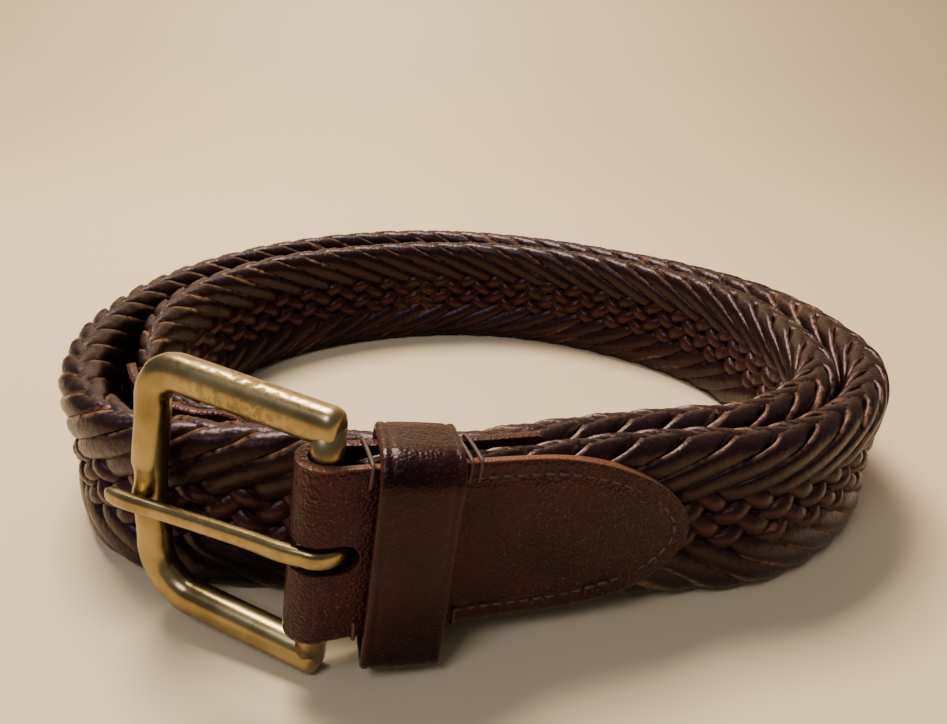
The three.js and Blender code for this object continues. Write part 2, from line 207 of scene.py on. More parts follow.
def by_length(course, count):
    """The same course in equal steps, and its length."""
    run = np.concatenate([[0], np.cumsum(np.linalg.norm(np.diff(course, axis=0), axis=1))])
    even = np.linspace(0, run[-1], count)
    return np.stack([np.interp(even, run, axis) for axis in course.T], 1), run[-1]


plan, STRAP_LENGTH = by_length(spline(outer_and_inner_turn(), STEPS_PER_PLACE), PLAN_POINTS)
plan = plan + np.array(COIL_SHIFT)
ahead = unit(np.gradient(plan, axis=0))
print("strap length", round(STRAP_LENGTH, 1), "mm")

# %% [markdown]
# Every leather piece is laid out in the strap's own coordinates: s along it from the buckle's bar, n out
# of its middle plane and v up from its middle line. One function turns those into places in the room, so
# a tab can be drawn flat, as it is cut, and then takes the strap's curve by itself.

# %% The strap's own coordinates


def strap_axes(s):
    """Where s is, and there the directions along the strap, out of its face and up across it."""
    s = np.asarray(s, dtype=float)
    share = np.clip(s / STRAP_LENGTH, 0, 1) * (len(plan) - 1)
    spot = np.arange(len(plan))
    t = unit(np.stack([np.interp(share, spot, ahead[:, k]) for k in (0, 1)], -1))
    beyond = (s - np.clip(s, 0, STRAP_LENGTH))[..., None]
    flat = np.stack([np.interp(share, spot, plan[:, k]) for k in (0, 1)], -1) + t * beyond
    left = np.maximum(1 - s / LIFT_LENGTH, 0)
    height = STRAP_HEIGHT / 2 + END_LIFT * left ** LIFT_CURVE
    slope = -(END_LIFT / LIFT_LENGTH) * LIFT_CURVE * np.maximum(left, 1e-9) ** (LIFT_CURVE - 1)
    origin = np.concatenate([flat, height[..., None]], -1)
    along = unit(np.concatenate([t, np.where(left > 0, slope, 0)[..., None]], -1))
    out = np.stack([t[..., 1], -t[..., 0], np.zeros_like(s)], -1)
    return origin, along, out, np.cross(out, along)


def strap_point(s, n, v):
    origin, _, out, up = strap_axes(s)
    return origin + out * np.asarray(n)[..., None] + up * np.asarray(v)[..., None]


def smooth_step(x, low, high):
    share = np.clip((np.asarray(x, dtype=float) - low) / (high - low), 0, 1)
    return share * share * (3 - 2 * share)


TAB_FRONT = 62.5
TIP_LENGTH = 40
PINCH_LENGTH = 38
PINCHED_THICKNESS = 4.4
PINCHED_HEIGHT = 29


def thickness_at(s):
    """The strap's thickness, which shrinks towards the tab and the tip."""
    buckle_side = smooth_step(s, TAB_FRONT - PINCH_LENGTH, TAB_FRONT)
    tip_side = smooth_step(STRAP_LENGTH - np.asarray(s), TIP_LENGTH, TIP_LENGTH + PINCH_LENGTH)
    return PINCHED_THICKNESS + (STRAP_THICKNESS - PINCHED_THICKNESS) * np.minimum(buckle_side, tip_side)


# %% [markdown]
# The materials come before the pieces, because a Geometry Nodes tree sets one at its end. The belt's
# strands are vegetable-tanned leather cut in strips, dyed near black-brown and waxed. The dyed face is
# dark with a soft sheen, and the cut edges show the paler fibre. The mark named edge says how near a
# point is to a cut edge, another mark says how low it lies in a crevice, where shade is painted in as a
# darker colour, middle says that a strand runs in the weave's middle rows, where the wax has rubbed off
# and the dye shows redder, and shade is the strand's own tone.

# %% Leather of the braid
BRAID_DYE = "#0e0607"
# colours laid over the dye in turn: its paler patches, a strand's own tone, rubbed wax, painted crevice
# shade, raw edge
BRAID_LAYERS = ["#231012", "#1f100d", "#4c221c", "#060303", "#8b6448"]


def new_material(name):
    material = bpy.data.materials.new(name)
    material.use_nodes = True
    material.node_tree.nodes.clear()
    place = add_node(material.node_tree, "ShaderNodeTexCoord").outputs["Object"]
    return material, material.node_tree, place


def per_metre(size_mm):
    return 1000 / size_mm


def marks_and_noises(tree, place, marks, noises):
    """The mesh's marks, and a noise for each pair of grain size in millimetres and detail."""
    read = [add_node(tree, "ShaderNodeAttribute", attribute_name=mark).outputs["Fac"] for mark in marks]
    for size, detail in noises:
        inputs = {"Scale": per_metre(size), "Detail": detail, "Vector": place}
        read.append(add_node(tree, "ShaderNodeTexNoise", inputs).outputs["Fac"])
    return read


def layered(tree, base, layers):
    """A base colour with others laid over it. Each layer is a share from 0 to 1 and a colour."""
    colour = linear(base)
    for share, code in layers:
        inputs = {0: share, 6: colour, 7: linear(code)}
        colour = add_node(tree, "ShaderNodeMix", inputs, data_type="RGBA").outputs[2]
    return colour


def braid_material():
    material, tree, place = new_material("waxed_strap_leather")
    edge, middle, shade, under, patches, grain, fibre, wear = marks_and_noises(
        tree, place, ("edge", "middle", "shade", "under"), ((14, 3), (0.9, 4), (1.6, 5), (26, 2))
    )
    pale = add_node(tree, "ShaderNodeMapRange", {0: patches, 1: 0.3, 2: 0.7}).outputs[0]
    rubbed = add_node(tree, MATH, {0: middle, 1: 0.22}, operation="MULTIPLY").outputs[0]
    # painted shade: a point that lies low in a crevice between strands is given a darker colour
    sunk = add_node(tree, "ShaderNodeMapRange", {0: under, 1: 0.1, 4: 0.85}).outputs[0]
    wax_gone = add_node(tree, "ShaderNodeMapRange", {0: wear, 1: 0.5, 2: 0.72, 4: 0.4}).outputs[0]
    reach = add_node(tree, MATH, {0: edge, 1: wax_gone}, operation="ADD").outputs[0]
    near = add_node(tree, "ShaderNodeMapRange", {0: reach, 1: 0.84, 2: 1.05, 4: 2.4}).outputs[0]
    frayed = add_node(tree, MATH, {0: fibre, 1: 0.36}, operation="SUBTRACT").outputs[0]
    raw = add_node(tree, MATH, {0: frayed, 1: near}, operation="MULTIPLY", use_clamp=True).outputs[0]
    colour = layered(tree, BRAID_DYE, zip((pale, shade, rubbed, sunk, raw), BRAID_LAYERS))
    sheen = add_node(tree, "ShaderNodeMapRange", {0: grain, 1: 0.25, 2: 0.75, 3: 0.24, 4: 0.44}).outputs[0]
    both = add_node(tree, MATH, {0: grain, 1: 0.6, 2: fibre}, operation="MULTIPLY_ADD").outputs[0]
    relief = {"Strength": 0.7, "Distance": 0.22 * MM, "Height": both}
    bump = add_node(tree, "ShaderNodeBump", relief).outputs[0]
    surface = add_node(tree, "ShaderNodeBsdfPrincipled", {
        "Base Color": colour, "Roughness": sheen, "Normal": bump, "IOR": 1.48,
        "Specular IOR Level": 0.38, "Specular Tint": linear("#dcb4bd"),
    }).outputs[0]
    add_node(tree, "ShaderNodeOutputMaterial", {"Surface": surface})
    return material


waxed_leather = braid_material()
print("material", waxed_leather.name)

# %% [markdown]
# The braid is a flattened tube: strands climb one way round it and cross as many that climb the other
# way. On each face a strand lies on top while it heads for an edge, is woven over and under through four
# rows in the middle, and lies below while it comes back. That gives the long shingled lobes that point
# away from the buckle, and the small plaited squares between them. The table is half a turn of one
# strand, front face, from the lower edge to the upper one; the back face is the same, turned over.

# %% One strand's course
# row: crossings passed. height and layer: shares of half the strap's height and thickness. face: degrees
# that the strand's face leans up. heading: degrees off the strap's line. tuck: degrees that its outer
# edge stands up over its neighbour. middle: 1 in the plaited rows. wide: share of the strand's width.
STRAND_COURSE = [
    (0, -0.935, -0.14, -90, 58, 0, 0, 0.95),
    (0.35, -0.92, 0.08, -58, 48, 0, 0, 0.95),
    (0.8, -0.87, 0.26, -28, 36, 0, 0, 1),
    (1.5, -0.765, 0.3, -6, 26, 0, 0, 1),
    (2.5, -0.632, 0.3, 0, 24, 0, 0, 1),
    (3.5, -0.508, 0.3, 0, 24, 0, 0, 0.95),
    (4.5, -0.38, 0.28, 0, 27, 0, 0.3, 0.85),
    (5, -0.315, 0.48, 0, 31, 0, 1, 0.8),
    (5.5, -0.25, 0.72, 0, 32, 0, 1, 0.78),
    (6, -0.168, 0.5, 0, 32, 0, 1, 0.76),
    (6.5, -0.085, 0.26, 0, 32, 0, 1, 0.76),
    (7, 0, 0.5, 0, 32, 0, 1, 0.76),
    (7.5, 0.085, 0.74, 0, 32, 0, 1, 0.76),
    (8, 0.168, 0.5, 0, 32, 0, 1, 0.76),
    (8.5, 0.25, 0.28, 0, 31, 2, 0.8, 0.8),
    (9, 0.315, 0.5, 0, 29, 6, 0.3, 0.86),
    (9.5, 0.38, 0.68, 0, 26, 15, 0.05, 0.95),
    (10.5, 0.508, 0.75, 0, 24, 18, 0, 1.06),
    (11.5, 0.632, 0.77, 0, 24, 18, 0, 1.1),
    (12.5, 0.765, 0.73, 6, 27, 15, 0, 1.06),
    (13.2, 0.87, 0.6, 28, 35, 10, 0, 1),
    (13.65, 0.92, 0.36, 58, 48, 0, 0, 0.95),
    (14, 0.935, 0.14, 90, 58, 0, 0, 0.95),
]
STRANDS_EACH_WAY = 14
ROWS = 14
BRAID_PITCH = 9.5
STRAND_WIDTH = 5.4
STRAND_THICKNESS = 2.7
RING_STEP = 1.1

row, height, layer, face, heading, tuck, middle_rows, wide = np.array(STRAND_COURSE, dtype=float).T
print("half a turn takes", ROWS * BRAID_PITCH / 2, "mm of strap")

# %% [markdown]
# A round thing that follows a line, such as a strand, a thread, a keeper or a rail, is a section swept
# along its path. One function does that for all of them: it takes the section's ring at every step and
# joins the rings, with closed ends or as a closed loop. The strands begin as one straight blank, and the
# strap's route bends it later. The blank carries its own coordinates as its shape: x is its share of the
# strap's length, y and z its section.

# %% Swept shapes, the blank and the route curve
STRAP_START = 6.2
STRAP_END = STRAP_LENGTH - 12
SECTION = [
    (-1, -0.1), (-0.74, 0.58), (-0.3, 0.94), (0.3, 0.94), (0.74, 0.58), (1, -0.1), (0.7, -0.8), (-0.7, -0.8),
]
ROUTE_POINTS = 1600


def swept(name, rings, closed=False, marks=None):
    rings = np.asarray(rings)
    count, sides = rings.shape[:2]
    faces = []
    for k in range(count if closed else count - 1):
        there = (k + 1) % count
        for j in range(sides):
            i = (j + 1) % sides
            faces.append((k * sides + j, k * sides + i, there * sides + i, there * sides + j))
    if not closed:
        faces.append(tuple(range(sides)))
        faces.append(tuple(reversed(range((count - 1) * sides, count * sides))))
    return mesh_object(name, rings.reshape(-1, 3), faces, marks)


def strand_blank():
    steps = int((STRAP_END - STRAP_START) / RING_STEP)
    rings = [[(k / steps, y, z) for y, z in SECTION] for k in range(steps + 1)]
    return swept("strand_blank", np.array(rings) / MM)


def route_curve():
    curve = bpy.data.curves.new("strap_route", "CURVE")
    curve.dimensions = "3D"
    line = curve.splines.new("POLY")
    places = strap_axes(np.linspace(0, STRAP_LENGTH, ROUTE_POINTS))[0] * MM
    line.points.add(len(places) - 1)
    line.points.foreach_set("co", np.concatenate([places, np.ones((len(places), 1))], 1).ravel())
    return add_object("strap_route", curve)


blank = strand_blank()
route_line = route_curve()
print("blank points:", len(blank.data.vertices))

# %% [markdown]
# The tree repeats the blank. Realised copies know their number, so each one's place in its turn follows
# from it. Float curves hold the table's columns, and the last steps carry the section to the route with
# a curve sample. A little noise keeps the strands from being machine-perfect, as cut leather never is.
# The sums are written as rows: a result's name, the node's kind, its operation and its inputs, where a
# text names an earlier result or one of the tree's own inputs.

# %% The braid's tree
DEGREE = math.pi / 180
LOW_V = PINCHED_HEIGHT / STRAP_HEIGHT
LOW_W = PINCHED_THICKNESS / STRAP_THICKNESS
WIDTH_WANDER = 0.3
TUCK_WANDER = 0.25
LAYER_WANDER = 0.5 * MM
BRAID_INPUTS = {
    "Strands": "Int", "Pitch": "Float", "Start": "Float", "End": "Float", "Half Height": "Float",
    "Half Thickness": "Float", "Strand Width": "Float", "Strand Thickness": "Float", "Side": "Float",
    "Offset": "Float", "Tab End": "Float", "Tip Start": "Float", "Pinch Length": "Float", "Seed": "Int",
    "Route": "Object", "Material": "Material",
}
# where a point is along the strap, and how far its strand is in its turn
PHASE_STEPS = [
    ("length", MATH, "SUBTRACT", "End", "Start"),
    ("s", MATH, "MULTIPLY_ADD", "x", "length", "Start"),
    ("pitches", MATH, "DIVIDE", "s", "Pitch"),
    ("passed", MATH, "SUBTRACT", "pitches", "strand"),
    ("shifted", MATH, "ADD", "passed", "Offset"),
    ("turns", MATH, "DIVIDE", "shifted", "Strands"),
    ("turn", MATH, "FRACT", "turns"),
    ("halves", MATH, "MULTIPLY", "turn", 2),
    ("half", MATH, "FRACT", "halves"),
    ("back", MATH, "FLOOR", "halves"),
    ("sign", MATH, "MULTIPLY_ADD", "back", -2, 1),
    ("noise x", MATH, "MULTIPLY", "s", 90),
    ("noise y", MATH, "MULTIPLY", "strand", 3.7),
]
# the section, tucked under its neighbour, turned to its heading and leaned round the strap's edge
SECTION_STEPS = [
    ("swing", MATH, "SUBTRACT", "wander", 0.5),
    ("swing two", MATH, "SUBTRACT", "wander two", 0.5),
    ("width share", MATH, "MULTIPLY_ADD", "swing", WIDTH_WANDER, "wide"),
    ("width", MATH, "MULTIPLY", "Strand Width", "width share"),
    ("half width", MATH, "MULTIPLY", "width", 0.5),
    ("across", MATH, "MULTIPLY", "y", "half width"),
    ("half thick", MATH, "MULTIPLY", "Strand Thickness", 0.5),
    ("crown", MATH, "MULTIPLY", "z", "half thick"),
    ("tucked", MATH, "MULTIPLY", "tuck", DEGREE),
    ("tuck swing", MATH, "MULTIPLY", "swing two", TUCK_WANDER),
    ("stand", MATH, "ADD", "tucked", "tuck swing"),
    ("cos stand", MATH, "COSINE", "stand"),
    ("sin stand", MATH, "SINE", "stand"),
    ("across cos", MATH, "MULTIPLY", "across", "cos stand"),
    ("crown sin", MATH, "MULTIPLY", "crown", "sin stand"),
    ("tilted", MATH, "SUBTRACT", "across cos", "crown sin"),
    ("across sin", MATH, "MULTIPLY", "across", "sin stand"),
    ("crown cos", MATH, "MULTIPLY", "crown", "cos stand"),
    ("raised", MATH, "ADD", "across sin", "crown cos"),
    ("layer swing", MATH, "MULTIPLY", "swing two", LAYER_WANDER),
    ("lifted", MATH, "ADD", "raised", "layer swing"),
    ("turned", MATH, "MULTIPLY", "heading", DEGREE),
    ("sin turned", MATH, "SINE", "turned"),
    ("cos turned", MATH, "COSINE", "turned"),
    ("forward", MATH, "MULTIPLY", "sin turned", "tilted"),
    ("s shift", MATH, "MULTIPLY", "forward", -1),
    ("on face", MATH, "MULTIPLY", "cos turned", "tilted"),
    ("lean", MATH, "MULTIPLY", "face", DEGREE),
    ("cos lean", MATH, "COSINE", "lean"),
    ("sin lean", MATH, "SINE", "lean"),
    ("face cos", MATH, "MULTIPLY", "on face", "cos lean"),
    ("lifted sin", MATH, "MULTIPLY", "lifted", "sin lean"),
    ("added v", MATH, "ADD", "face cos", "lifted sin"),
    ("lifted cos", MATH, "MULTIPLY", "lifted", "cos lean"),
    ("face sin", MATH, "MULTIPLY", "on face", "sin lean"),
    ("added w", MATH, "SUBTRACT", "lifted cos", "face sin"),
    ("front v", MATH, "MULTIPLY_ADD", "height", "Half Height", "added v"),
    ("front w", MATH, "MULTIPLY_ADD", "layer", "Half Thickness", "added w"),
    ("signed v", MATH, "MULTIPLY", "front v", "sign"),
    ("full v", MATH, "MULTIPLY", "signed v", "Side"),
    ("full w", MATH, "MULTIPLY", "front w", "sign"),
    ("tab low", MATH, "SUBTRACT", "Tab End", "Pinch Length"),
    ("tip low", MATH, "SUBTRACT", "Tip Start", "Pinch Length"),
    ("station", MATH, "ADD", "s", "s shift"),
    # how low a point lies in its section, which the material turns into painted shade in the crevices
    ("depth", MATH, "SUBTRACT", 0.94, "z"),
    ("under", MATH, "MULTIPLY", "depth", 0.9),
    ("edge", MATH, "ABSOLUTE", "y"),
]
# pinched under the tab and the tip, and carried to the route: out is level and square to it, up is
# square to both
ROUTE_STEPS = [
    ("open", MATH, "MINIMUM", "by tab", "by tip"),
    ("v share", MATH, "MULTIPLY_ADD", "open", 1 - LOW_V, LOW_V),
    ("w share", MATH, "MULTIPLY_ADD", "open", 1 - LOW_W, LOW_W),
    ("v", MATH, "MULTIPLY", "full v", "v share"),
    ("w", MATH, "MULTIPLY", "full w", "w share"),
    ("cross", VECTOR, "CROSS_PRODUCT", "along", (0, 0, 1)),
    ("out", VECTOR, "NORMALIZE", "cross"),
    ("up", VECTOR, "CROSS_PRODUCT", "out", "along"),
    ("by w", VECTOR, "SCALE", "out", None, None, "w"),
    ("by v", VECTOR, "SCALE", "up", None, None, "v"),
    ("aside", VECTOR, "ADD", "by w", "by v"),
    ("place", VECTOR, "ADD", "station place", "aside"),
]


def new_tree(name, inputs):
    """A tree with its named inputs, and those inputs' sockets by name."""
    tree = bpy.data.node_groups.new(name, "GeometryNodeTree")
    for socket, kind in {"Geometry": "Geometry", **inputs}.items():
        tree.interface.new_socket(socket, in_out="INPUT", socket_type="NodeSocket" + kind)
    tree.interface.new_socket("Geometry", in_out="OUTPUT", socket_type="NodeSocketGeometry")
    return tree, {socket.name: socket for socket in add_node(tree, "NodeGroupInput").outputs}


def work_out(tree, known, steps):
    """Adds the node of each row, and keeps its result under its name."""
    for result, kind, operation, *inputs in steps:
        ready = [known[x] if isinstance(x, str) else x for x in inputs]
        filled = {k: x for k, x in enumerate(ready) if x is not None}
        known[result] = add_node(tree, kind, filled, operation=operation).outputs[0]


def fill_curve(node, values, low, high):
    """Puts a column of the table into a float curve, from low to high."""
    curve = node.mapping.curves[0]
    wanted = list(zip(row / ROWS, (values - low) / (high - low)))
    while len(curve.points) < len(wanted):
        curve.points.new(0.5, 0.5)
    for point, place in zip(curve.points, wanted):
        point.location = place
        point.handle_type = "AUTO_CLAMPED"
    node.mapping.update()


def braid_tree():
    tree, known = new_tree("braid", BRAID_INPUTS)
    at_one_place = {"Offset": (0, 0, 0), "Count": known["Strands"]}
    in_row = add_node(tree, "GeometryNodeMeshLine", at_one_place).outputs[0]
    number = add_node(tree, "GeometryNodeInputIndex").outputs[0]
    numbered = add_node(
        tree, "GeometryNodeStoreNamedAttribute", {"Name": "strand", "Geometry": in_row, "Value": number},
        data_type="FLOAT", domain="POINT",
    ).outputs[0]
    copies = add_node(
        tree, "GeometryNodeInstanceOnPoints", {"Points": numbered, "Instance": known["Geometry"]}
    ).outputs[0]
    geometry = add_node(tree, "GeometryNodeRealizeInstances", {0: copies}).outputs[0]
    known["strand"] = add_node(
        tree, "GeometryNodeInputNamedAttribute", {"Name": "strand"}, data_type="FLOAT"
    ).outputs[0]
    position = add_node(tree, "GeometryNodeInputPosition").outputs[0]
    known["x"], known["y"], known["z"] = add_node(tree, "ShaderNodeSeparateXYZ", {0: position}).outputs
    work_out(tree, known, PHASE_STEPS)

    # The table's columns, each with its lowest and highest value
    columns = {
        "height": (height, -1, 1), "layer": (layer, -1, 1), "face": (face, -90, 90),
        "heading": (heading, 0, 90), "tuck": (tuck, 0, 90), "middle": (middle_rows, 0, 1),
        "wide": (wide, 0, 2),
    }
    for name, (values, low, high) in columns.items():
        curve = add_node(tree, "ShaderNodeFloatCurve", {"Value": known["half"]})
        fill_curve(curve, values, low, high)
        spread = {0: curve.outputs[0], 1: high - low, 2: low}
        known[name] = add_node(tree, MATH, spread, operation="MULTIPLY_ADD").outputs[0]

    # Cut leather is never even: width, tuck and layer wander a little
    spot = {0: known["noise x"], 1: known["noise y"], 2: known["Seed"]}
    known["spot"] = add_node(tree, "ShaderNodeCombineXYZ", spot).outputs[0]
    work_out(tree, known, [("spot two", VECTOR, "ADD", "spot", (31.0, 17.0, 5.0))])
    for name, where, scale in (("wander", "spot", 1), ("wander two", "spot two", 1.3)):
        inputs = {"Vector": known[where], "Scale": scale, "Detail": 1}
        known[name] = add_node(tree, "ShaderNodeTexNoise", inputs).outputs[0]
    work_out(tree, known, SECTION_STEPS)

    # Under the leather of the tab and the tip the braid is pinched
    pinches = {
        "by tab": {0: known["s"], 1: known["tab low"], 2: known["Tab End"]},
        "by tip": {0: known["s"], 1: known["tip low"], 2: known["Tip Start"], 3: 1, 4: 0},
    }
    for name, inputs in pinches.items():
        known[name] = add_node(tree, "ShaderNodeMapRange", inputs, interpolation_type="SMOOTHSTEP").outputs[0]
    route = add_node(tree, "GeometryNodeObjectInfo", {0: known["Route"]}).outputs["Geometry"]
    at = add_node(
        tree, "GeometryNodeSampleCurve", {"Curves": route, "Length": known["station"]}, mode="LENGTH"
    ).outputs
    known["along"], known["station place"] = at["Tangent"], at["Position"]
    work_out(tree, known, ROUTE_STEPS)

    # Marks for the material are kept before the blank's own coordinates are lost
    for mark, value in (("edge", "edge"), ("middle", "middle"), ("shade", "wander"), ("under", "under")):
        kept = {"Name": mark, "Geometry": geometry, "Value": known[value]}
        geometry = add_node(
            tree, "GeometryNodeStoreNamedAttribute", kept, data_type="FLOAT", domain="POINT"
        ).outputs[0]
    moved = add_node(tree, "GeometryNodeSetPosition", {"Geometry": geometry, "Position": known["place"]})
    whole = add_node(tree, "GeometryNodeRealizeInstances", {0: moved.outputs[0]}).outputs[0]
    dressed = add_node(tree, "GeometryNodeSetMaterial", {"Geometry": whole, "Material": known["Material"]})
    add_node(tree, "NodeGroupOutput", {0: dressed.outputs[0]})
    return tree


def grown(item, tree, settings):
    """Runs a tree on the piece with the named inputs, and keeps the result as its mesh."""
    modifier = item.modifiers.new("tree", "NODES")
    modifier.node_group = tree
    sockets = {s.name: s.identifier for s in tree.interface.items_tree if s.in_out == "INPUT"}
    for name, value in settings.items():
        modifier[sockets[name]] = value
    return apply_modifiers(item)


weave = braid_tree()
print("nodes in the braid's tree:", len(weave.nodes))

# %% [markdown]
# One family of strands climbs round the braid one way and the other family the other way. They are the
# same tree with the side turned over and half a crossing's offset, so that each passes under where the
# other passes over. Each has its own seed, so the two never wander alike.

# %% The two families of strands
BRAID_SIZES = {
    "Strands": STRANDS_EACH_WAY, "Pitch": BRAID_PITCH * MM, "Start": STRAP_START * MM, "End": STRAP_END * MM,
    "Half Height": STRAP_HEIGHT / 2 * MM, "Half Thickness": STRAP_THICKNESS / 2 * MM,
    "Strand Width": STRAND_WIDTH * MM, "Strand Thickness": STRAND_THICKNESS * MM,
    "Tab End": TAB_FRONT * MM, "Tip Start": (STRAP_LENGTH - TIP_LENGTH) * MM,
    "Pinch Length": PINCH_LENGTH * MM, "Route": route_line, "Material": waxed_leather,
}
braid = []
for name, side, offset, seed in (("strands_rising", 1.0, 0.0, 7), ("strands_falling", -1.0, 0.5, 23)):
    strands = add_object(name, blank.data.copy())
    grown(strands, weave, {**BRAID_SIZES, "Side": side, "Offset": offset, "Seed": seed})
    braid.append(finish_mesh(strands))
bpy.data.objects.remove(blank)

# %% [markdown]
# The tab, the keeper and the tip are cut from smooth leather: full-grain cowhide, dyed oxblood and
# finished with wax, which gives fine pores, a soft gloss and pinkish cut edges. The keeper's leather is
# glazed, so it is darker and shines along its bend. The cut edge is paler, and the mark named raw keeps
# it for the material, while worn says where the dye is rubbed.

# %% Smooth leather
LEATHER = 1.8
POINT_TONE = "#1d110e"
RUBBED_TONE = "#8a7466"


def smooth_leather(name, dark, warm, edge_colour, gloss, grain_depth, finish):
    material, tree, place = new_material(name)
    raw, worn, patches, creases, flecks = marks_and_noises(
        tree, place, ("raw", "worn"), ((11, 4), (1.1, 5), (0.45, 2))
    )
    pore_grain = {"Scale": per_metre(0.55), "Vector": place}
    pores = add_node(tree, "ShaderNodeTexVoronoi", pore_grain).outputs["Distance"]
    warmer = add_node(tree, "ShaderNodeMapRange", {0: patches, 1: 0.32, 2: 0.68}).outputs[0]
    x = add_node(tree, "ShaderNodeSeparateXYZ", {0: place}).outputs[0]
    to_point = add_node(tree, "ShaderNodeMapRange", {0: x, 1: -12 * MM, 2: 30 * MM, 4: 0.7}).outputs[0]
    flecked = add_node(tree, "ShaderNodeMapRange", {0: flecks, 1: 0.61, 2: 0.74, 4: 0.42}).outputs[0]
    rubbed = add_node(tree, MATH, {0: flecked, 1: worn}, operation="MULTIPLY", use_clamp=True).outputs[0]
    layers = ((warmer, warm), (to_point, POINT_TONE), (rubbed, RUBBED_TONE), (raw, edge_colour))
    polish = {0: creases, 1: 0.3, 2: 0.7, 3: gloss - 0.07, 4: gloss + 0.12}
    relief = add_node(tree, MATH, {0: creases, 1: 0.8, 2: pores}, operation="MULTIPLY_ADD").outputs[0]
    bump = add_node(tree, "ShaderNodeBump", {"Strength": 0.6, "Distance": grain_depth * MM, "Height": relief})
    surface = add_node(tree, "ShaderNodeBsdfPrincipled", {
        "Base Color": layered(tree, dark, layers), "Normal": bump.outputs[0], "IOR": 1.5,
        "Roughness": add_node(tree, "ShaderNodeMapRange", polish).outputs[0],
        "Specular Tint": linear("#e6b6b4"), **finish,
    }).outputs[0]
    add_node(tree, "ShaderNodeOutputMaterial", {"Surface": surface})
    return material


WAXED = {"Specular IOR Level": 0.32}
GLAZED = {"Specular IOR Level": 0.22, "Coat Weight": 0.1, "Coat Roughness": 0.22}
tab_leather = smooth_leather("oxblood_cowhide", "#180709", "#381315", "#65402f", 0.31, 0.26, WAXED)
keeper_leather = smooth_leather("glazed_cowhide", "#120405", "#26090b", "#3d211c", 0.28, 0.14, GLAZED)
print("materials", tab_leather.name, keeper_leather.name)

# %% [markdown]
# The tab is one strip, folded round the buckle's bar and sewn over both faces of the strap. It is drawn
# flat as a grid of small squares with a face and a back, so a slot can be cut through with a Boolean,
# and is wrapped afterwards. Its columns crowd together towards the rounded ends.

# %% The flat tab
BAR_RADIUS = 2.5
FIT = 0.3
TAB_HEIGHT = 30.4
TAB_BACK = 40
TAB_POINT = 30
TAB_CORNER = 5
TAB_STEP = 0.9
FOLD_RADIUS = BAR_RADIUS + FIT + LEATHER / 2
FOLD = math.pi * FOLD_RADIUS
CUT_STRIP = 0.35
BLUNT_SHARE = 0.996
DYED_EDGE = 0.15
END_COLUMNS = 22


def layer_offset(s):
    """How far the leather's middle lies off the strap's middle plane."""
    over_strap = (thickness_at(s) + LEATHER) / 2 + FIT
    share = smooth_step(s, 0, STRAP_START)
    return FOLD_RADIUS + (over_strap - FOLD_RADIUS) * share


def pointed_half(from_end, point_length):
    share = np.clip(1 - np.asarray(from_end) / point_length, 0, BLUNT_SHARE)
    return TAB_HEIGHT / 2 * np.sqrt(1 - share * share)


def flat_sheet(name, columns, half, rows=34, dyed_part=0):
    """A flat sheet of leather: a along it, v across it, w through it. Edges of the dyed part stay dark."""
    inner = 1 - CUT_STRIP / (TAB_HEIGHT / 2)
    shares = np.concatenate([[-1], np.linspace(-inner, inner, rows), [1]])
    a, y = np.meshgrid(columns, shares, indexing="ij")
    v = y * half[:, None]
    count, across = a.shape
    raw = ((np.abs(y) > 0.999) | (a <= columns[0] + 1e-6) | (a >= columns[-1] - 1e-6)).astype(float).ravel()
    raw = raw * np.where(a.ravel() < columns[0] + dyed_part, DYED_EDGE, 1)
    points = [np.stack([a.ravel(), v.ravel(), np.full(a.size, w)], 1) for w in (LEATHER / 2, -LEATHER / 2)]
    back = count * across
    faces = []
    for i in range(count - 1):
        for j in range(across - 1):
            k = i * across + j
            faces.append((k, k + across, k + across + 1, k + 1))
            faces.append((back + k, back + k + 1, back + k + across + 1, back + k + across))
    rim = [i * across for i in range(count)] + [(count - 1) * across + j for j in range(1, across)]
    rim += [i * across + across - 1 for i in range(count - 2, -1, -1)] + list(range(across - 2, 0, -1))
    for k, here in enumerate(rim):
        there = rim[(k + 1) % len(rim)]
        faces.append((here, there, back + there, back + here))
    return mesh_object(name, np.vstack(points), faces, {"raw": np.concatenate([raw, raw])})


def end_columns(low, high, point_low, point_high, step):
    """Columns that crowd together towards the rounded ends."""
    middle = np.arange(low + point_low, high - point_high, step)
    angle = np.linspace(0, math.pi / 2, END_COLUMNS)
    head = low + point_low * (1 - np.sin(angle))[::-1]
    tail = high - point_high * (1 - np.sin(angle))
    return np.unique(np.round(np.concatenate([head, middle, tail]), 4))


tab_columns = end_columns(-TAB_BACK - FOLD / 2, TAB_FRONT + FOLD / 2, TAB_CORNER, TAB_POINT, TAB_STEP)
from_back = tab_columns + TAB_BACK + FOLD / 2
from_front = TAB_FRONT + FOLD / 2 - tab_columns
tab_half = np.minimum(pointed_half(from_back, TAB_CORNER), pointed_half(from_front, TAB_POINT))
tab = flat_sheet("tab", tab_columns, tab_half, dyed_part=TAB_BACK)
print("flat tab", round(TAB_BACK + FOLD + TAB_FRONT, 1), "by", TAB_HEIGHT, "mm")

# %% [markdown]
# The prong's slot is an oval punched through the fold. A Boolean with a punch of that shape does the
# same to the flat sheet, and is simplest before the sheet is wrapped.

# %% The slot
SLOT_END = 5.2
SLOT_HALF = 2.5
PUNCH_REACH = 3


def punch():
    straight = FOLD / 2 + SLOT_END - SLOT_HALF
    outline = []
    for side in (1, -1):
        for turn in np.radians(np.linspace(-90, 90, 13)):
            a = side * (straight + SLOT_HALF * math.cos(turn))
            outline.append((a, side * SLOT_HALF * math.sin(turn)))
    rings = [[(a, v, w) for a, v in outline] for w in (PUNCH_REACH, -PUNCH_REACH)]
    return finish_mesh(swept("slot_punch", rings), smooth=False)


cutter = punch()
finish_mesh(tab)
cut = tab.modifiers.new("slot", "BOOLEAN")
cut.operation = "DIFFERENCE"
cut.solver = "EXACT"
cut.object = cutter
apply_modifiers(tab)
bpy.data.objects.remove(cutter)

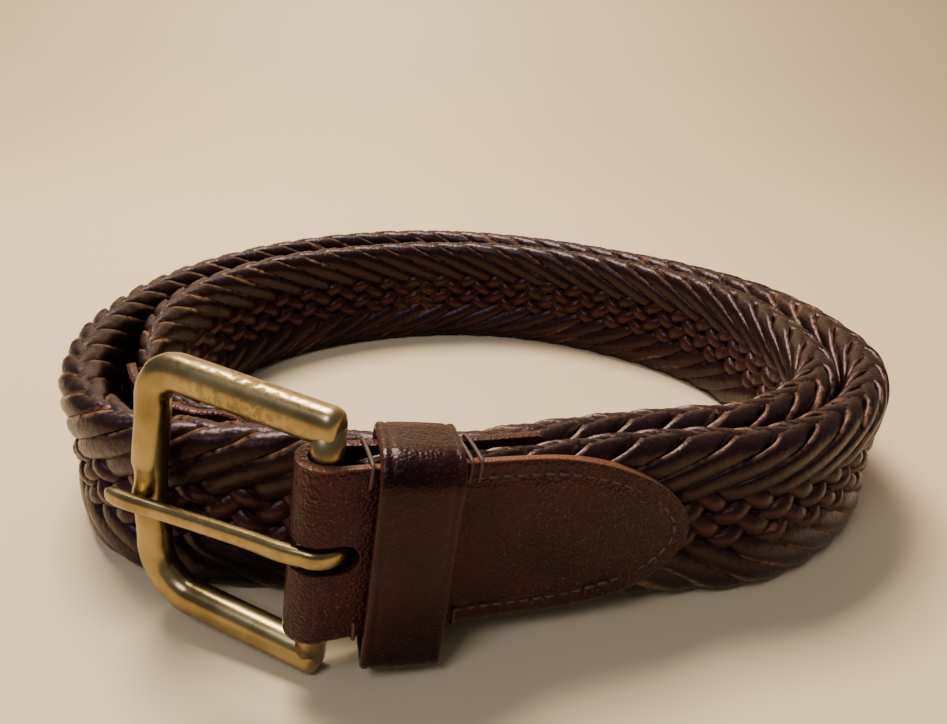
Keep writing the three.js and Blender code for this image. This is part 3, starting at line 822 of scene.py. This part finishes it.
# %% [markdown]
# Wrapping the tab is a change of coordinates: the middle of the sheet goes round the bar, and its ends
# lie on the strap's two faces. Before that its face is worked: it sinks along the row of stitches, swells
# a little between them, and waves where the braid's ridges press through from below.

# %% Stitch row and wrapped tab
STITCH_START = 17.5
STITCH_INSET = 2.7
STITCH_SINK = 0.42
RIDGE_WAVE = 0.2
LOOSE_WAVE = 0.12
SWELL = 0.25
RIM_ROUNDING = 0.3


def stitch_row():
    """The row of stitches on the front layer, as places in a and v."""
    straight = np.arange(STITCH_START, TAB_FRONT - TAB_POINT, 0.5)
    point = TAB_FRONT - TAB_POINT * (1 - np.sin(np.linspace(0, math.pi / 2, 60)))
    a = np.concatenate([straight, point])
    edge = np.stack([a, pointed_half(TAB_FRONT - a, TAB_POINT)], 1)
    tangent = unit(np.gradient(edge, axis=0))
    inside = edge + np.stack([tangent[:, 1], -tangent[:, 0]], 1) * STITCH_INSET
    keep = inside[inside[:, 1] > 0.4]
    return np.vstack([keep, (keep * [1, -1])[::-1]])


def wrapped(points):
    """Places of the flat tab, in millimetres, wrapped round the bar and laid on the strap."""
    a, v, w = points.T
    on_fold = np.abs(a) <= FOLD / 2
    s = np.abs(a) - FOLD / 2
    n = np.sign(a) * (layer_offset(np.maximum(s, 0)) + w)
    turn = np.clip(a / (FOLD / 2), -1, 1) * math.pi / 2
    s = np.where(on_fold, -(FOLD_RADIUS + w) * np.cos(turn), s)
    n = np.where(on_fold, (FOLD_RADIUS + w) * np.sin(turn), n)
    return strap_point(s, n, v)


def flat_places(mesh):
    """The points of a sheet in millimetres, as columns a, v and w."""
    flat = np.empty(len(mesh.vertices) * 3)
    mesh.vertices.foreach_get("co", flat)
    return (flat.reshape(-1, 3) / MM).T


def work_tab(mesh, row_of_stitches):
    a, v, w = flat_places(mesh)
    s = a - FOLD / 2
    here = np.stack([s, v], 1)
    away = np.min(np.linalg.norm(here[:, None, :] - row_of_stitches[None, :, :], axis=2), axis=1)
    to_edge = TAB_HEIGHT / 2 - np.abs(v)
    room = np.clip(to_edge / 4, 0, 1) * smooth_step(s, 16, 30) * smooth_step(TAB_FRONT - s, 1, 9)
    ridges = RIDGE_WAVE * np.sin(s * 0.66 + np.abs(v) * 0.5) * room
    waves = ridges + LOOSE_WAVE * np.sin(s * 0.31 + v * 0.42 + 1.3) * room
    sunk = -STITCH_SINK * np.exp(-(away / 0.75) ** 2)
    w = w + np.where((s > 0) & (w > 0), sunk + waves + SWELL * room, 0)
    at_rim = np.clip(1 - to_edge / 1.3, 0, 1) * (s > 1)
    w = w - RIM_ROUNDING * at_rim ** 2 * np.sign(w)
    places = wrapped(np.stack([a, v, w], 1)) * MM
    mesh.vertices.foreach_set("co", places.ravel())
    set_mark(mesh, "worn", np.clip(np.exp(-((s - 2) / 6) ** 2) + smooth_step(s, 18, 40) * 0.8, 0, 1))
    mesh.update()


stitches_flat = stitch_row()
work_tab(tab.data, stitches_flat)
round_off = tab.modifiers.new("rounded", "BEVEL")
round_off.width = RIM_ROUNDING * MM
round_off.segments = 2
round_off.angle_limit = math.radians(55)
apply_modifiers(tab)
finish_mesh(tab)
tab.data.materials.clear()
tab.data.materials.append(tab_leather)

# %% [markdown]
# The stitches are waxed linen thread, each one dipping into its hole. A tree puts a small capsule at
# every stitch of the row. The capsule is round, so only its direction matters and the curve's own
# rotation serves. The thread's twist is too fine to show, so a noise of half a millimetre stands for it.

# %% Stitches
STITCH_PITCH = 2.4
STITCH_LENGTH = 1.8
THREAD_RADIUS = 0.33
THREAD_TONES = ("#261811", "#5a4430")
STITCH_SEAT = LEATHER / 2 - 0.2


def capsule(name, length, radius, sides=8):
    rings = []
    for angle in np.linspace(-90, 90, 7)[1:-1]:
        turn = math.radians(angle)
        z = math.sin(turn) * radius + math.copysign(length / 2 - radius, angle) * (abs(angle) > 1)
        rings.append((z, radius * math.cos(turn)))
    points = [(0, 0, -length / 2)]
    for z, r in rings:
        for turn in np.arange(sides) / sides * 2 * math.pi:
            points.append((r * math.cos(turn), r * math.sin(turn), z))
    points.append((0, 0, length / 2))
    faces = [(0, 1 + (k + 1) % sides, 1 + k) for k in range(sides)]
    for ring in range(len(rings) - 1):
        for k in range(sides):
            here, there = 1 + ring * sides, 1 + (ring + 1) * sides
            faces.append((here + k, here + (k + 1) % sides, there + (k + 1) % sides, there + k))
    last = 1 + (len(rings) - 1) * sides
    faces += [(last + k, last + (k + 1) % sides, len(points) - 1) for k in range(sides)]
    return mesh_object(name, points, faces)


def thread_material():
    material, tree, place = new_material("waxed_linen_thread")
    (twist,) = marks_and_noises(tree, place, (), ((0.6, 3),))
    dark, light = THREAD_TONES
    relief = {"Strength": 0.5, "Distance": 0.08 * MM, "Height": twist}
    bump = add_node(tree, "ShaderNodeBump", relief).outputs[0]
    surface = add_node(tree, "ShaderNodeBsdfPrincipled", {
        "Base Color": layered(tree, dark, [(twist, light)]), "Normal": bump, "Roughness": 0.62,
    }).outputs[0]
    add_node(tree, "ShaderNodeOutputMaterial", {"Surface": surface})
    return material


def stitch_tree():
    tree, given = new_tree("stitch_row", {"Spacing": "Float", "Stitch": "Object", "Material": "Material"})
    line = add_node(tree, "GeometryNodeMeshToCurve", {0: given["Geometry"]}).outputs[0]
    spots = add_node(
        tree, "GeometryNodeCurveToPoints", {"Curve": line, "Length": given["Spacing"]}, mode="LENGTH"
    ).outputs
    one = add_node(tree, "GeometryNodeObjectInfo", {0: given["Stitch"]}).outputs["Geometry"]
    sewn = add_node(tree, "GeometryNodeInstanceOnPoints", {
        "Points": spots[0], "Instance": one, "Rotation": spots["Rotation"],
    }).outputs[0]
    real = add_node(tree, "GeometryNodeRealizeInstances", {0: sewn}).outputs[0]
    dressed = add_node(tree, "GeometryNodeSetMaterial", {"Geometry": real, "Material": given["Material"]})
    add_node(tree, "NodeGroupOutput", {0: dressed.outputs[0]})
    return tree


linen = thread_material()
one_stitch = capsule("one_stitch", STITCH_LENGTH, THREAD_RADIUS)
seat = np.full(len(stitches_flat), STITCH_SEAT)
course = wrapped(np.stack([stitches_flat[:, 0] + FOLD / 2, stitches_flat[:, 1], seat], 1))
stitches = mesh_object("tab_stitches", course, [], edges=[(k, k + 1) for k in range(len(course) - 1)])
grown(stitches, stitch_tree(), {"Spacing": STITCH_PITCH * MM, "Stitch": one_stitch, "Material": linen})
finish_mesh(stitches)
bpy.data.objects.remove(one_stitch)

# %% [markdown]
# Where the sewing begins and ends, the thread is passed over the tab's edge and pulled tight, which
# leaves short loops from face to back. Each loop is a thread swept along its way over the edge, and all
# of them are joined into one piece.

# %% Thread knots over the tab's edges
# s of each loop, and 1 for the upper edge or -1 for the lower one
KNOTS = [(5.6, 1), (20.6, 1), (22.2, 1), (5.4, -1), (21.6, -1)]
KNOT_RADIUS = 0.32
KNOT_REACH = 3.2
FACE_SHARE = 0.35
FACE_LIFT = 0.1
EDGE_LIFT = 0.2
EDGE_BULGE = 0.35


def knot(s, side):
    """A loop of thread from the tab's face over its edge to the back."""
    half = TAB_HEIGHT / 2
    face_n = float(layer_offset(s)) + LEATHER / 2
    line = []
    for share in np.linspace(0, 1, 21):
        if share < FACE_SHARE:
            n, v = face_n + FACE_LIFT, half - KNOT_REACH * (1 - share / FACE_SHARE)
        elif share < 1 - FACE_SHARE:
            turn = (share - FACE_SHARE) / 0.3 * math.pi
            n, v = face_n * math.cos(turn), half + EDGE_LIFT + EDGE_BULGE * math.sin(turn)
        else:
            n, v = -face_n - FACE_LIFT, half - KNOT_REACH * (share - 0.65) / FACE_SHARE
        line.append((s + 0.5 * share, n, v))
    line = np.array(line) * [1, 1, side]
    rings = []
    for place, t in zip(line, unit(np.gradient(line, axis=0))):
        across = np.array([1.0, 0, 0]) - t * t[0]
        across /= np.linalg.norm(across)
        other = np.cross(t, across)
        turns = np.linspace(0, 2 * math.pi, 9)[:-1]
        ring = [place + KNOT_RADIUS * (math.cos(q) * across + math.sin(q) * other) for q in turns]
        rings.append([strap_point(*p) for p in ring])
    return swept("knot", rings)


def joined(name, items):
    work = bmesh.new()
    for item in items:
        work.from_mesh(item.data)
        bpy.data.objects.remove(item)
    mesh = bpy.data.meshes.new(name)
    work.to_mesh(mesh)
    work.free()
    return finish_mesh(add_object(name, mesh))


knots = joined("tab_knots", [knot(s, side) for s, side in KNOTS])
knots.data.materials.append(linen)

# %% [markdown]
# The keeper is a loop of glazed leather that hangs on the tab's top edge. It is loose, so it stands off
# the tab in front and reaches lower. Its section is swept round a rounded rectangle, its front swells a
# little, and a crease pressed along each edge catches the light.

# %% Keeper
KEEPER_WIDTH = 12.6
KEEPER_HEIGHT = 38.6
KEEPER_START = 7.4
KEEPER_ROOM = 3.4
KEEPER_TURN = 8
KEEPER_RINGS = 120
KEEPER_SWELL = 0.35
KEEPER_WEAR = 0.25


def keeper_path():
    middle = KEEPER_START + KEEPER_WIDTH / 2
    tab_half_thick = float(layer_offset(middle)) + LEATHER / 2
    turned = KEEPER_WIDTH / 2 * math.sin(math.radians(KEEPER_TURN))
    back = -(tab_half_thick + turned + 2 * FIT + LEATHER / 2)
    front = tab_half_thick + KEEPER_ROOM - LEATHER / 2
    top = TAB_HEIGHT / 2 + 2 * FIT + LEATHER / 2
    bottom = top - (KEEPER_HEIGHT - LEATHER)
    # n and v of each corner, its radius and the angle that its arc starts at
    corners = [
        (front, top, 4.2, 0), (back, top, 2.4, 90), (back, bottom, 2.0, 180), (front, bottom, 1.6, 270),
    ]
    outline = []
    for n, v, radius, start in corners:
        centre_n = n - math.copysign(radius, n)
        centre_v = v - radius if start < 180 else v + radius
        for turn in np.radians(np.linspace(start, start + 90, 9)):
            outline.append((centre_n + radius * math.cos(turn), centre_v + radius * math.sin(turn)))
    even, _ = by_length(np.array(outline + outline[:1]), KEEPER_RINGS + 1)
    return even[:-1]


def keeper_section():
    """The section's points, across and through the leather, and how raw each one is."""
    half = KEEPER_WIDTH / 2
    # across the left half of the face, and its rise there: rounded edge, pressed crease, flat middle
    face = [-half + 0.1, -half + 0.35, -half + 1.1, -half + 1.5, -half + 1.9, -half + 3, -2.2, 0]
    face += [-x for x in face[-2::-1]]
    rise = [0.55, 0.85, 0.9, 0.68, 0.9, 0.95, 0.98, 1.0]
    rise += rise[-2::-1]
    points = [(x, r * LEATHER / 2) for x, r in zip(face, rise)]
    points += [(half, 0.2), (half, -0.3), (half - 0.3, -LEATHER / 2), (0, -LEATHER / 2)]
    points += [(-half + 0.3, -LEATHER / 2), (-half, -0.3), (-half, 0.2)]
    return points, [1, 0.3] + [0] * (len(face) - 4) + [0.3, 1] + [1, 1, 0.6, 0, 0.6, 1, 1]


def keeper_piece():
    path = keeper_path()
    section, raw = keeper_section()
    origin, along, out, up = strap_axes(KEEPER_START + KEEPER_WIDTH / 2)
    turn = np.array(Matrix.Rotation(math.radians(-KEEPER_TURN), 3, Vector(up)))
    along, out = turn @ along, turn @ out
    tangent = unit(np.roll(path, -1, 0) - np.roll(path, 1, 0))
    square = np.stack([tangent[:, 1], -tangent[:, 0]], 1)
    rings = []
    for (n, v), q in zip(path, square):
        swell = KEEPER_SWELL * math.exp(-((v + 2) / 9) ** 2) * (n > 0)
        ring = []
        for x, y in section:
            here = np.array([n, v]) + q * (y + swell * (1 - (x / (KEEPER_WIDTH / 2)) ** 2))
            ring.append(origin + along * x + out * here[0] + up * here[1])
        rings.append(ring)
    marks = {"raw": raw * len(rings), "worn": [KEEPER_WEAR] * len(section) * len(rings)}
    return finish_mesh(swept("keeper_loop", rings, True, marks))


keeper = keeper_piece()
keeper.data.materials.append(keeper_leather)

# %% [markdown]
# The tip closes the strap's free end with two layers of the same leather as the tab, joined past the
# braid. It sits on the inner turn, behind the buckle, so a plain sheet on each face is enough, with its
# end rounded and a stitch row pressed in.

# %% Tip
TIP_POINT = 16
TIP_CORNER = 1.5
TIP_STEP = 1.2
TIP_STITCH_INSET = 2.5
TIP_CLOSING = (26, 31)


def tip_layer(side):
    columns = end_columns(0, TIP_LENGTH, TIP_CORNER, TIP_POINT, TIP_STEP)
    half = pointed_half(TIP_LENGTH - columns, TIP_POINT)
    sheet = flat_sheet("tip_layer", columns, half, 20, dyed_part=2 * TIP_LENGTH)
    a, v, w = flat_places(sheet.data)
    closing = smooth_step(a, *TIP_CLOSING)
    over = (PINCHED_THICKNESS / 2 + FIT + LEATHER / 2) * (1 - closing) + (LEATHER / 2 + 0.02) * closing
    edge_gap = np.minimum(TAB_HEIGHT / 2 - np.abs(v), (TIP_LENGTH - a) * 0.9)
    sunk = -0.3 * np.exp(-((edge_gap - TIP_STITCH_INSET) / 0.7) ** 2) * (w > 0)
    places = strap_point(STRAP_LENGTH - TIP_LENGTH + a, side * (over + w + sunk), v) * MM
    sheet.data.vertices.foreach_set("co", places.ravel())
    set_mark(sheet.data, "worn", np.full(len(a), 0.3))
    return sheet


tip = joined("tip", [tip_layer(1), tip_layer(-1)])
tip.data.materials.append(tab_leather)

# %% [markdown]
# The buckle is cast brass, tumbled and lacquered, and years of wear have dulled it. The lacquer is gone
# in speckles along the top rail, where the metal is darker and pitted, and the bare metal is pale where
# hands polish it. Real brass has no dye, so one metal with changing roughness and tone does it.

# %% Brass


def brass_material():
    material, tree, place = new_material("worn_cast_brass")
    worn, cloud, pits = marks_and_noises(tree, place, ("worn",), ((9, 5), (1.3, 6)))
    pale = add_node(tree, "ShaderNodeMapRange", {0: cloud, 1: 0.3, 2: 0.7}).outputs[0]
    speck = add_node(tree, "ShaderNodeMapRange", {0: pits, 1: 0.47, 2: 0.55}).outputs[0]
    dull = add_node(tree, MATH, {0: speck, 1: worn}, operation="MULTIPLY", use_clamp=True).outputs[0]
    rough = add_node(tree, "ShaderNodeMapRange", {0: cloud, 1: 0.25, 2: 0.75, 3: 0.2, 4: 0.36}).outputs[0]
    rougher = add_node(tree, MATH, {0: dull, 1: 0.25, 2: rough}, operation="MULTIPLY_ADD").outputs[0]
    relief = {"Strength": 0.35, "Distance": 0.06 * MM, "Height": pits}
    bump = add_node(tree, "ShaderNodeBump", relief).outputs[0]
    surface = add_node(tree, "ShaderNodeBsdfPrincipled", {
        "Base Color": layered(tree, "#7f6b43", ((pale, "#ad9a6d"), (dull, "#5c4d28"))),
        "Roughness": rougher, "Normal": bump, "Metallic": 1,
    }).outputs[0]
    add_node(tree, "ShaderNodeOutputMaterial", {"Surface": surface})
    return material


brass = brass_material()
print("material", brass.name)

# %% [markdown]
# The buckle has its own coordinates: r out from the bar, m out of the frame's face and v along the bar.
# The bar is upright in the tab's fold, and the frame hangs back from it. The frame is one rail bent round
# three sides, with a seat worn for the prong, and the bar joins its ends.

# %% Buckle frame
FRAME_HEIGHT = 47.6
FRAME_REACH = 36.6
FRAME_CORNER = 9
FRAME_LOW_CORNER = 12
FRAME_BOW = 1
FRAME_TURN = 43
FRAME_DROP = 0.8
RAIL_WIDTH = 6.2
RAIL_THICKNESS = 5.2
RAIL_SQUARENESS = 2.25
RAIL_SIDES = 24
BAR_RINGS = 9
SEAT_DEPTH = 0.55
BAR_WEAR = 0.2

bar_place, bar_along, bar_out, bar_up = strap_axes(0.0)
frame_turn = np.array(Matrix.Rotation(math.radians(-FRAME_TURN), 3, Vector(bar_up)))
frame_out, frame_face = frame_turn @ -bar_along, frame_turn @ bar_out


def buckle_point(r, m, v):
    r, m, v = (np.asarray(x, dtype=float)[..., None] for x in (r, m, v))
    return bar_place + frame_out * r + frame_face * m + bar_up * v


def rounded_section(width, thickness, squareness, sides):
    """Points of a rounded rectangle, from an ellipse with its corners pushed out."""
    angle = (np.arange(sides) + 0.5) / sides * 2 * math.pi
    power = 2 / squareness
    x = np.sign(np.cos(angle)) * np.abs(np.cos(angle)) ** power * width / 2
    y = np.sign(np.sin(angle)) * np.abs(np.sin(angle)) ** power * thickness / 2
    return x, y


def half_rail(corner):
    """The upper half of the rail's middle line: r, v, outward direction and size as a share."""
    high = (FRAME_HEIGHT - RAIL_WIDTH) / 2
    far = FRAME_REACH - RAIL_WIDTH / 2 - FRAME_BOW
    steps = []
    for turn in np.radians(np.linspace(-90, 0, 12)[1:]):
        steps.append((0.34 * RAIL_WIDTH * math.sin(turn), high, 90, max(math.cos(turn), 0.02) ** 0.5))
    for share in np.linspace(0, 1, 26)[1:-1]:
        steps.append(((far - corner) * share, high, 90, 1))
    for angle in np.linspace(90, 0, 19):
        turn = math.radians(angle)
        r = far - corner + corner * math.cos(turn)
        steps.append((r, high - corner + corner * math.sin(turn), angle, 1))
    for share in np.linspace(0, 1, 26)[1:]:
        bow = FRAME_BOW * math.sin(share * math.pi / 2) ** 2
        steps.append((far + bow, (high - corner) * (1 - share), 0, 1))
    return steps


def rail_course():
    upper = half_rail(FRAME_CORNER - RAIL_WIDTH / 2)
    lower = half_rail(FRAME_LOW_CORNER - RAIL_WIDTH / 2)
    return upper + [(r, -v, -angle, size) for r, v, angle, size in lower[-2::-1]]


def pressed(side, half, depth):
    """Presses in the half of a section that faces the prong's seat."""
    return np.where(side > 0, side - depth * np.clip(side / half, 0, 1), side)


def frame_piece():
    rings, worn = [], []
    x, y = rounded_section(RAIL_WIDTH, RAIL_THICKNESS, RAIL_SQUARENESS, RAIL_SIDES)
    for r, v, angle, size in rail_course():
        turn = math.radians(angle)
        seat = SEAT_DEPTH * math.exp(-((v - 0.2) / 2.2) ** 4) * (abs(angle) < 1)
        slim = 1 - 0.08 * (abs(angle) < 45) * math.cos(turn)
        across = pressed(x * size * slim, RAIL_WIDTH / 2, seat)
        rise = pressed(y * size, RAIL_THICKNESS / 2, seat * 0.8)
        ring_v = v - FRAME_DROP + math.sin(turn) * across
        rings.append(buckle_point(r + math.cos(turn) * across, rise, ring_v))
        on_top = math.exp(-((r - 14) / 11) ** 2) * (angle > 45)
        worn += list(on_top * np.clip(0.6 - 0.5 * np.abs(y / RAIL_THICKNESS * 2 - 0.2), 0, 1) * 2.2)
    rail = swept("rail", rings, False, {"worn": worn})
    half = (FRAME_HEIGHT - RAIL_WIDTH) / 2
    angle = np.linspace(0, 2 * math.pi, RAIL_SIDES + 1)[:-1]
    circle = BAR_RADIUS * np.cos(angle), BAR_RADIUS * np.sin(angle)
    levels = np.linspace(-half, half, BAR_RINGS) - FRAME_DROP
    bar_rings = [buckle_point(*circle, np.full(RAIL_SIDES, v)) for v in levels]
    bar = swept("bar", bar_rings, False, {"worn": [BAR_WEAR] * RAIL_SIDES * BAR_RINGS})
    return joined("frame_brass", [rail, bar])


frame_brass = frame_piece()
frame_brass.data.materials.append(brass)

# %% [markdown]
# The prong is one strip of brass. Its inner end is bent round the bar, comes out through the slot as a
# rounded heel, and the blade runs over the far rail to a blunt tip. It droops a little, because the frame
# stands on its side and the eye is loose on the bar. Its section is swept along that hooked path.

# %% Prong
PRONG_WIDTH = 3.1
PRONG_THICKNESS = 2.2
PRONG_SQUARENESS = 2.7
PRONG_SIDES = 16
PRONG_DROOP = 6
PRONG_WEAR = 0.15
STEPS_PER_PRONG_PLACE = 4
SMALLEST_SHARE = 0.08
# r in millimetres, m above the eye's level, width and thickness as shares
BLADE = [
    (2, 0.25, 1, 1), (5, 0.35, 1, 1), (9, 0.15, 0.96, 1), (14, 0.1, 0.94, 1), (20, 0.12, 0.92, 1),
    (26, 0.2, 0.92, 1), (31, 0.35, 0.94, 1), (34, 0.38, 0.96, 1), (36.6, 0.2, 0.95, 0.95),
    (38, -0.05, 0.85, 0.85), (38.8, -0.3, 0.6, 0.6), (39.1, -0.4, 0.2, 0.2),
]


def prong_piece():
    centre = BAR_RADIUS + FIT + PRONG_THICKNESS / 2
    turns = np.radians(np.linspace(395, 90, 40))
    hook = [(centre * math.cos(turn), centre * math.sin(turn), 1, 1) for turn in turns]
    line = [p for p in hook if not (p[0] > 1.2 and p[1] > -0.8)]
    line = np.array(line + [(r, centre + m, wide, thick) for r, m, wide, thick in BLADE])
    place = spline(line[:, :2], STEPS_PER_PRONG_PLACE)
    spot = np.arange(len(place)) / STEPS_PER_PRONG_PLACE
    size = np.stack([np.interp(spot, np.arange(len(line)), line[:, k]) for k in (2, 3)], 1)
    x, y = rounded_section(PRONG_WIDTH, PRONG_THICKNESS, PRONG_SQUARENESS, PRONG_SIDES)
    rings = []
    for (r, m), (tr, tm), (wide, thick) in zip(place, unit(np.gradient(place, axis=0)), size):
        rise = y * max(thick, SMALLEST_SHARE)
        droop = max(r, 0) * math.tan(math.radians(PRONG_DROOP))
        rings.append(buckle_point(r - tm * rise, m + tr * rise, x * max(wide, SMALLEST_SHARE) - droop))
    worn = np.full(len(rings) * PRONG_SIDES, PRONG_WEAR)
    return finish_mesh(swept("prong_brass", rings, False, {"worn": worn}))


prong = prong_piece()
prong.data.materials.append(brass)

# %% [markdown]
# Now each piece is put on the body that carries it, and the imported solid that it stands for is
# hidden. The braid, the leather and the thread ride on the strap, the rail on the frame and the prong
# on its own body.

# %% What carries what
bpy.data.objects.remove(route_line)
PIECES = [
    (braid[0], "strap", "braided_strap", "braid_leather"),
    (braid[1], "strap", "braided_strap", "braid_leather"),
    (tab, "strap", "buckle_tab", "tab_leather"), (stitches, "strap", None, "tab_leather"),
    (knots, "strap", None, "tab_leather"), (keeper, "strap", "keeper", "keeper_leather"),
    (tip, "strap", "strap_tip", "tab_leather"), (frame_brass, "frame", "buckle_frame", "brass"),
    (prong, "prong", "buckle_prong", "brass"),
]
for piece, body, node, finish in PIECES:
    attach(piece, body)
    if node:
        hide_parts(node)
print("pieces:", len(PIECES))

# %% [markdown]
# The setting is a pale matt table and soft light from a big window, with a weaker fill. The table is
# large, so its edge stays out of the picture, and rises behind the belt in a gentle curve, as a
# photographer's sweep does.

# %% Setting
FLOOR_HALF_WIDTH = 1500
# y and z of the sweep's profile
FLOOR_PROFILE = [
    (-700, 0), (-200, 0), (300, 0), (420, 6), (520, 30), (600, 80), (660, 170), (690, 320), (700, 700),
]


def sweep_floor():
    points = [(x, y, z) for y, z in FLOOR_PROFILE for x in (-FLOOR_HALF_WIDTH, FLOOR_HALF_WIDTH)]
    faces = [(2 * k, 2 * k + 1, 2 * k + 3, 2 * k + 2) for k in range(len(FLOOR_PROFILE) - 1)]
    floor = mesh_object("floor", points, faces)
    floor.data.shade_smooth()
    material, tree, _ = new_material("pale_matt_table")
    surface = add_node(tree, "ShaderNodeBsdfPrincipled", {"Base Color": linear("#d6bd95"), "Roughness": 0.6})
    add_node(tree, "ShaderNodeOutputMaterial", {"Surface": surface.outputs[0]})
    floor.data.materials.append(material)
    return floor


def area_light(name, place, size, power, colour):
    """A square light that faces the belt. Its place and size are in metres, its power in watts."""
    lamp = bpy.data.lights.new(name, "AREA")
    lamp.size = size
    lamp.energy = power
    lamp.color = linear(colour)[:3]
    item = add_object(name, lamp)
    item.location = place
    item.rotation_euler = (Vector((0, 0, 0.02)) - Vector(place)).to_track_quat("-Z", "Y").to_euler()


sweep_floor()
area_light("window", (-0.22, 0.3, 0.8), 0.35, 17, "#fff4e4")
area_light("fill", (-0.3, -0.5, 0.7), 0.3, 3, "#e6ecff")
world = bpy.data.worlds.new("room")
world.use_nodes = True
world.node_tree.nodes["Background"].inputs[0].default_value = linear("#e9e9ee")
world.node_tree.nodes["Background"].inputs[1].default_value = 0.24
bpy.context.scene.world = world
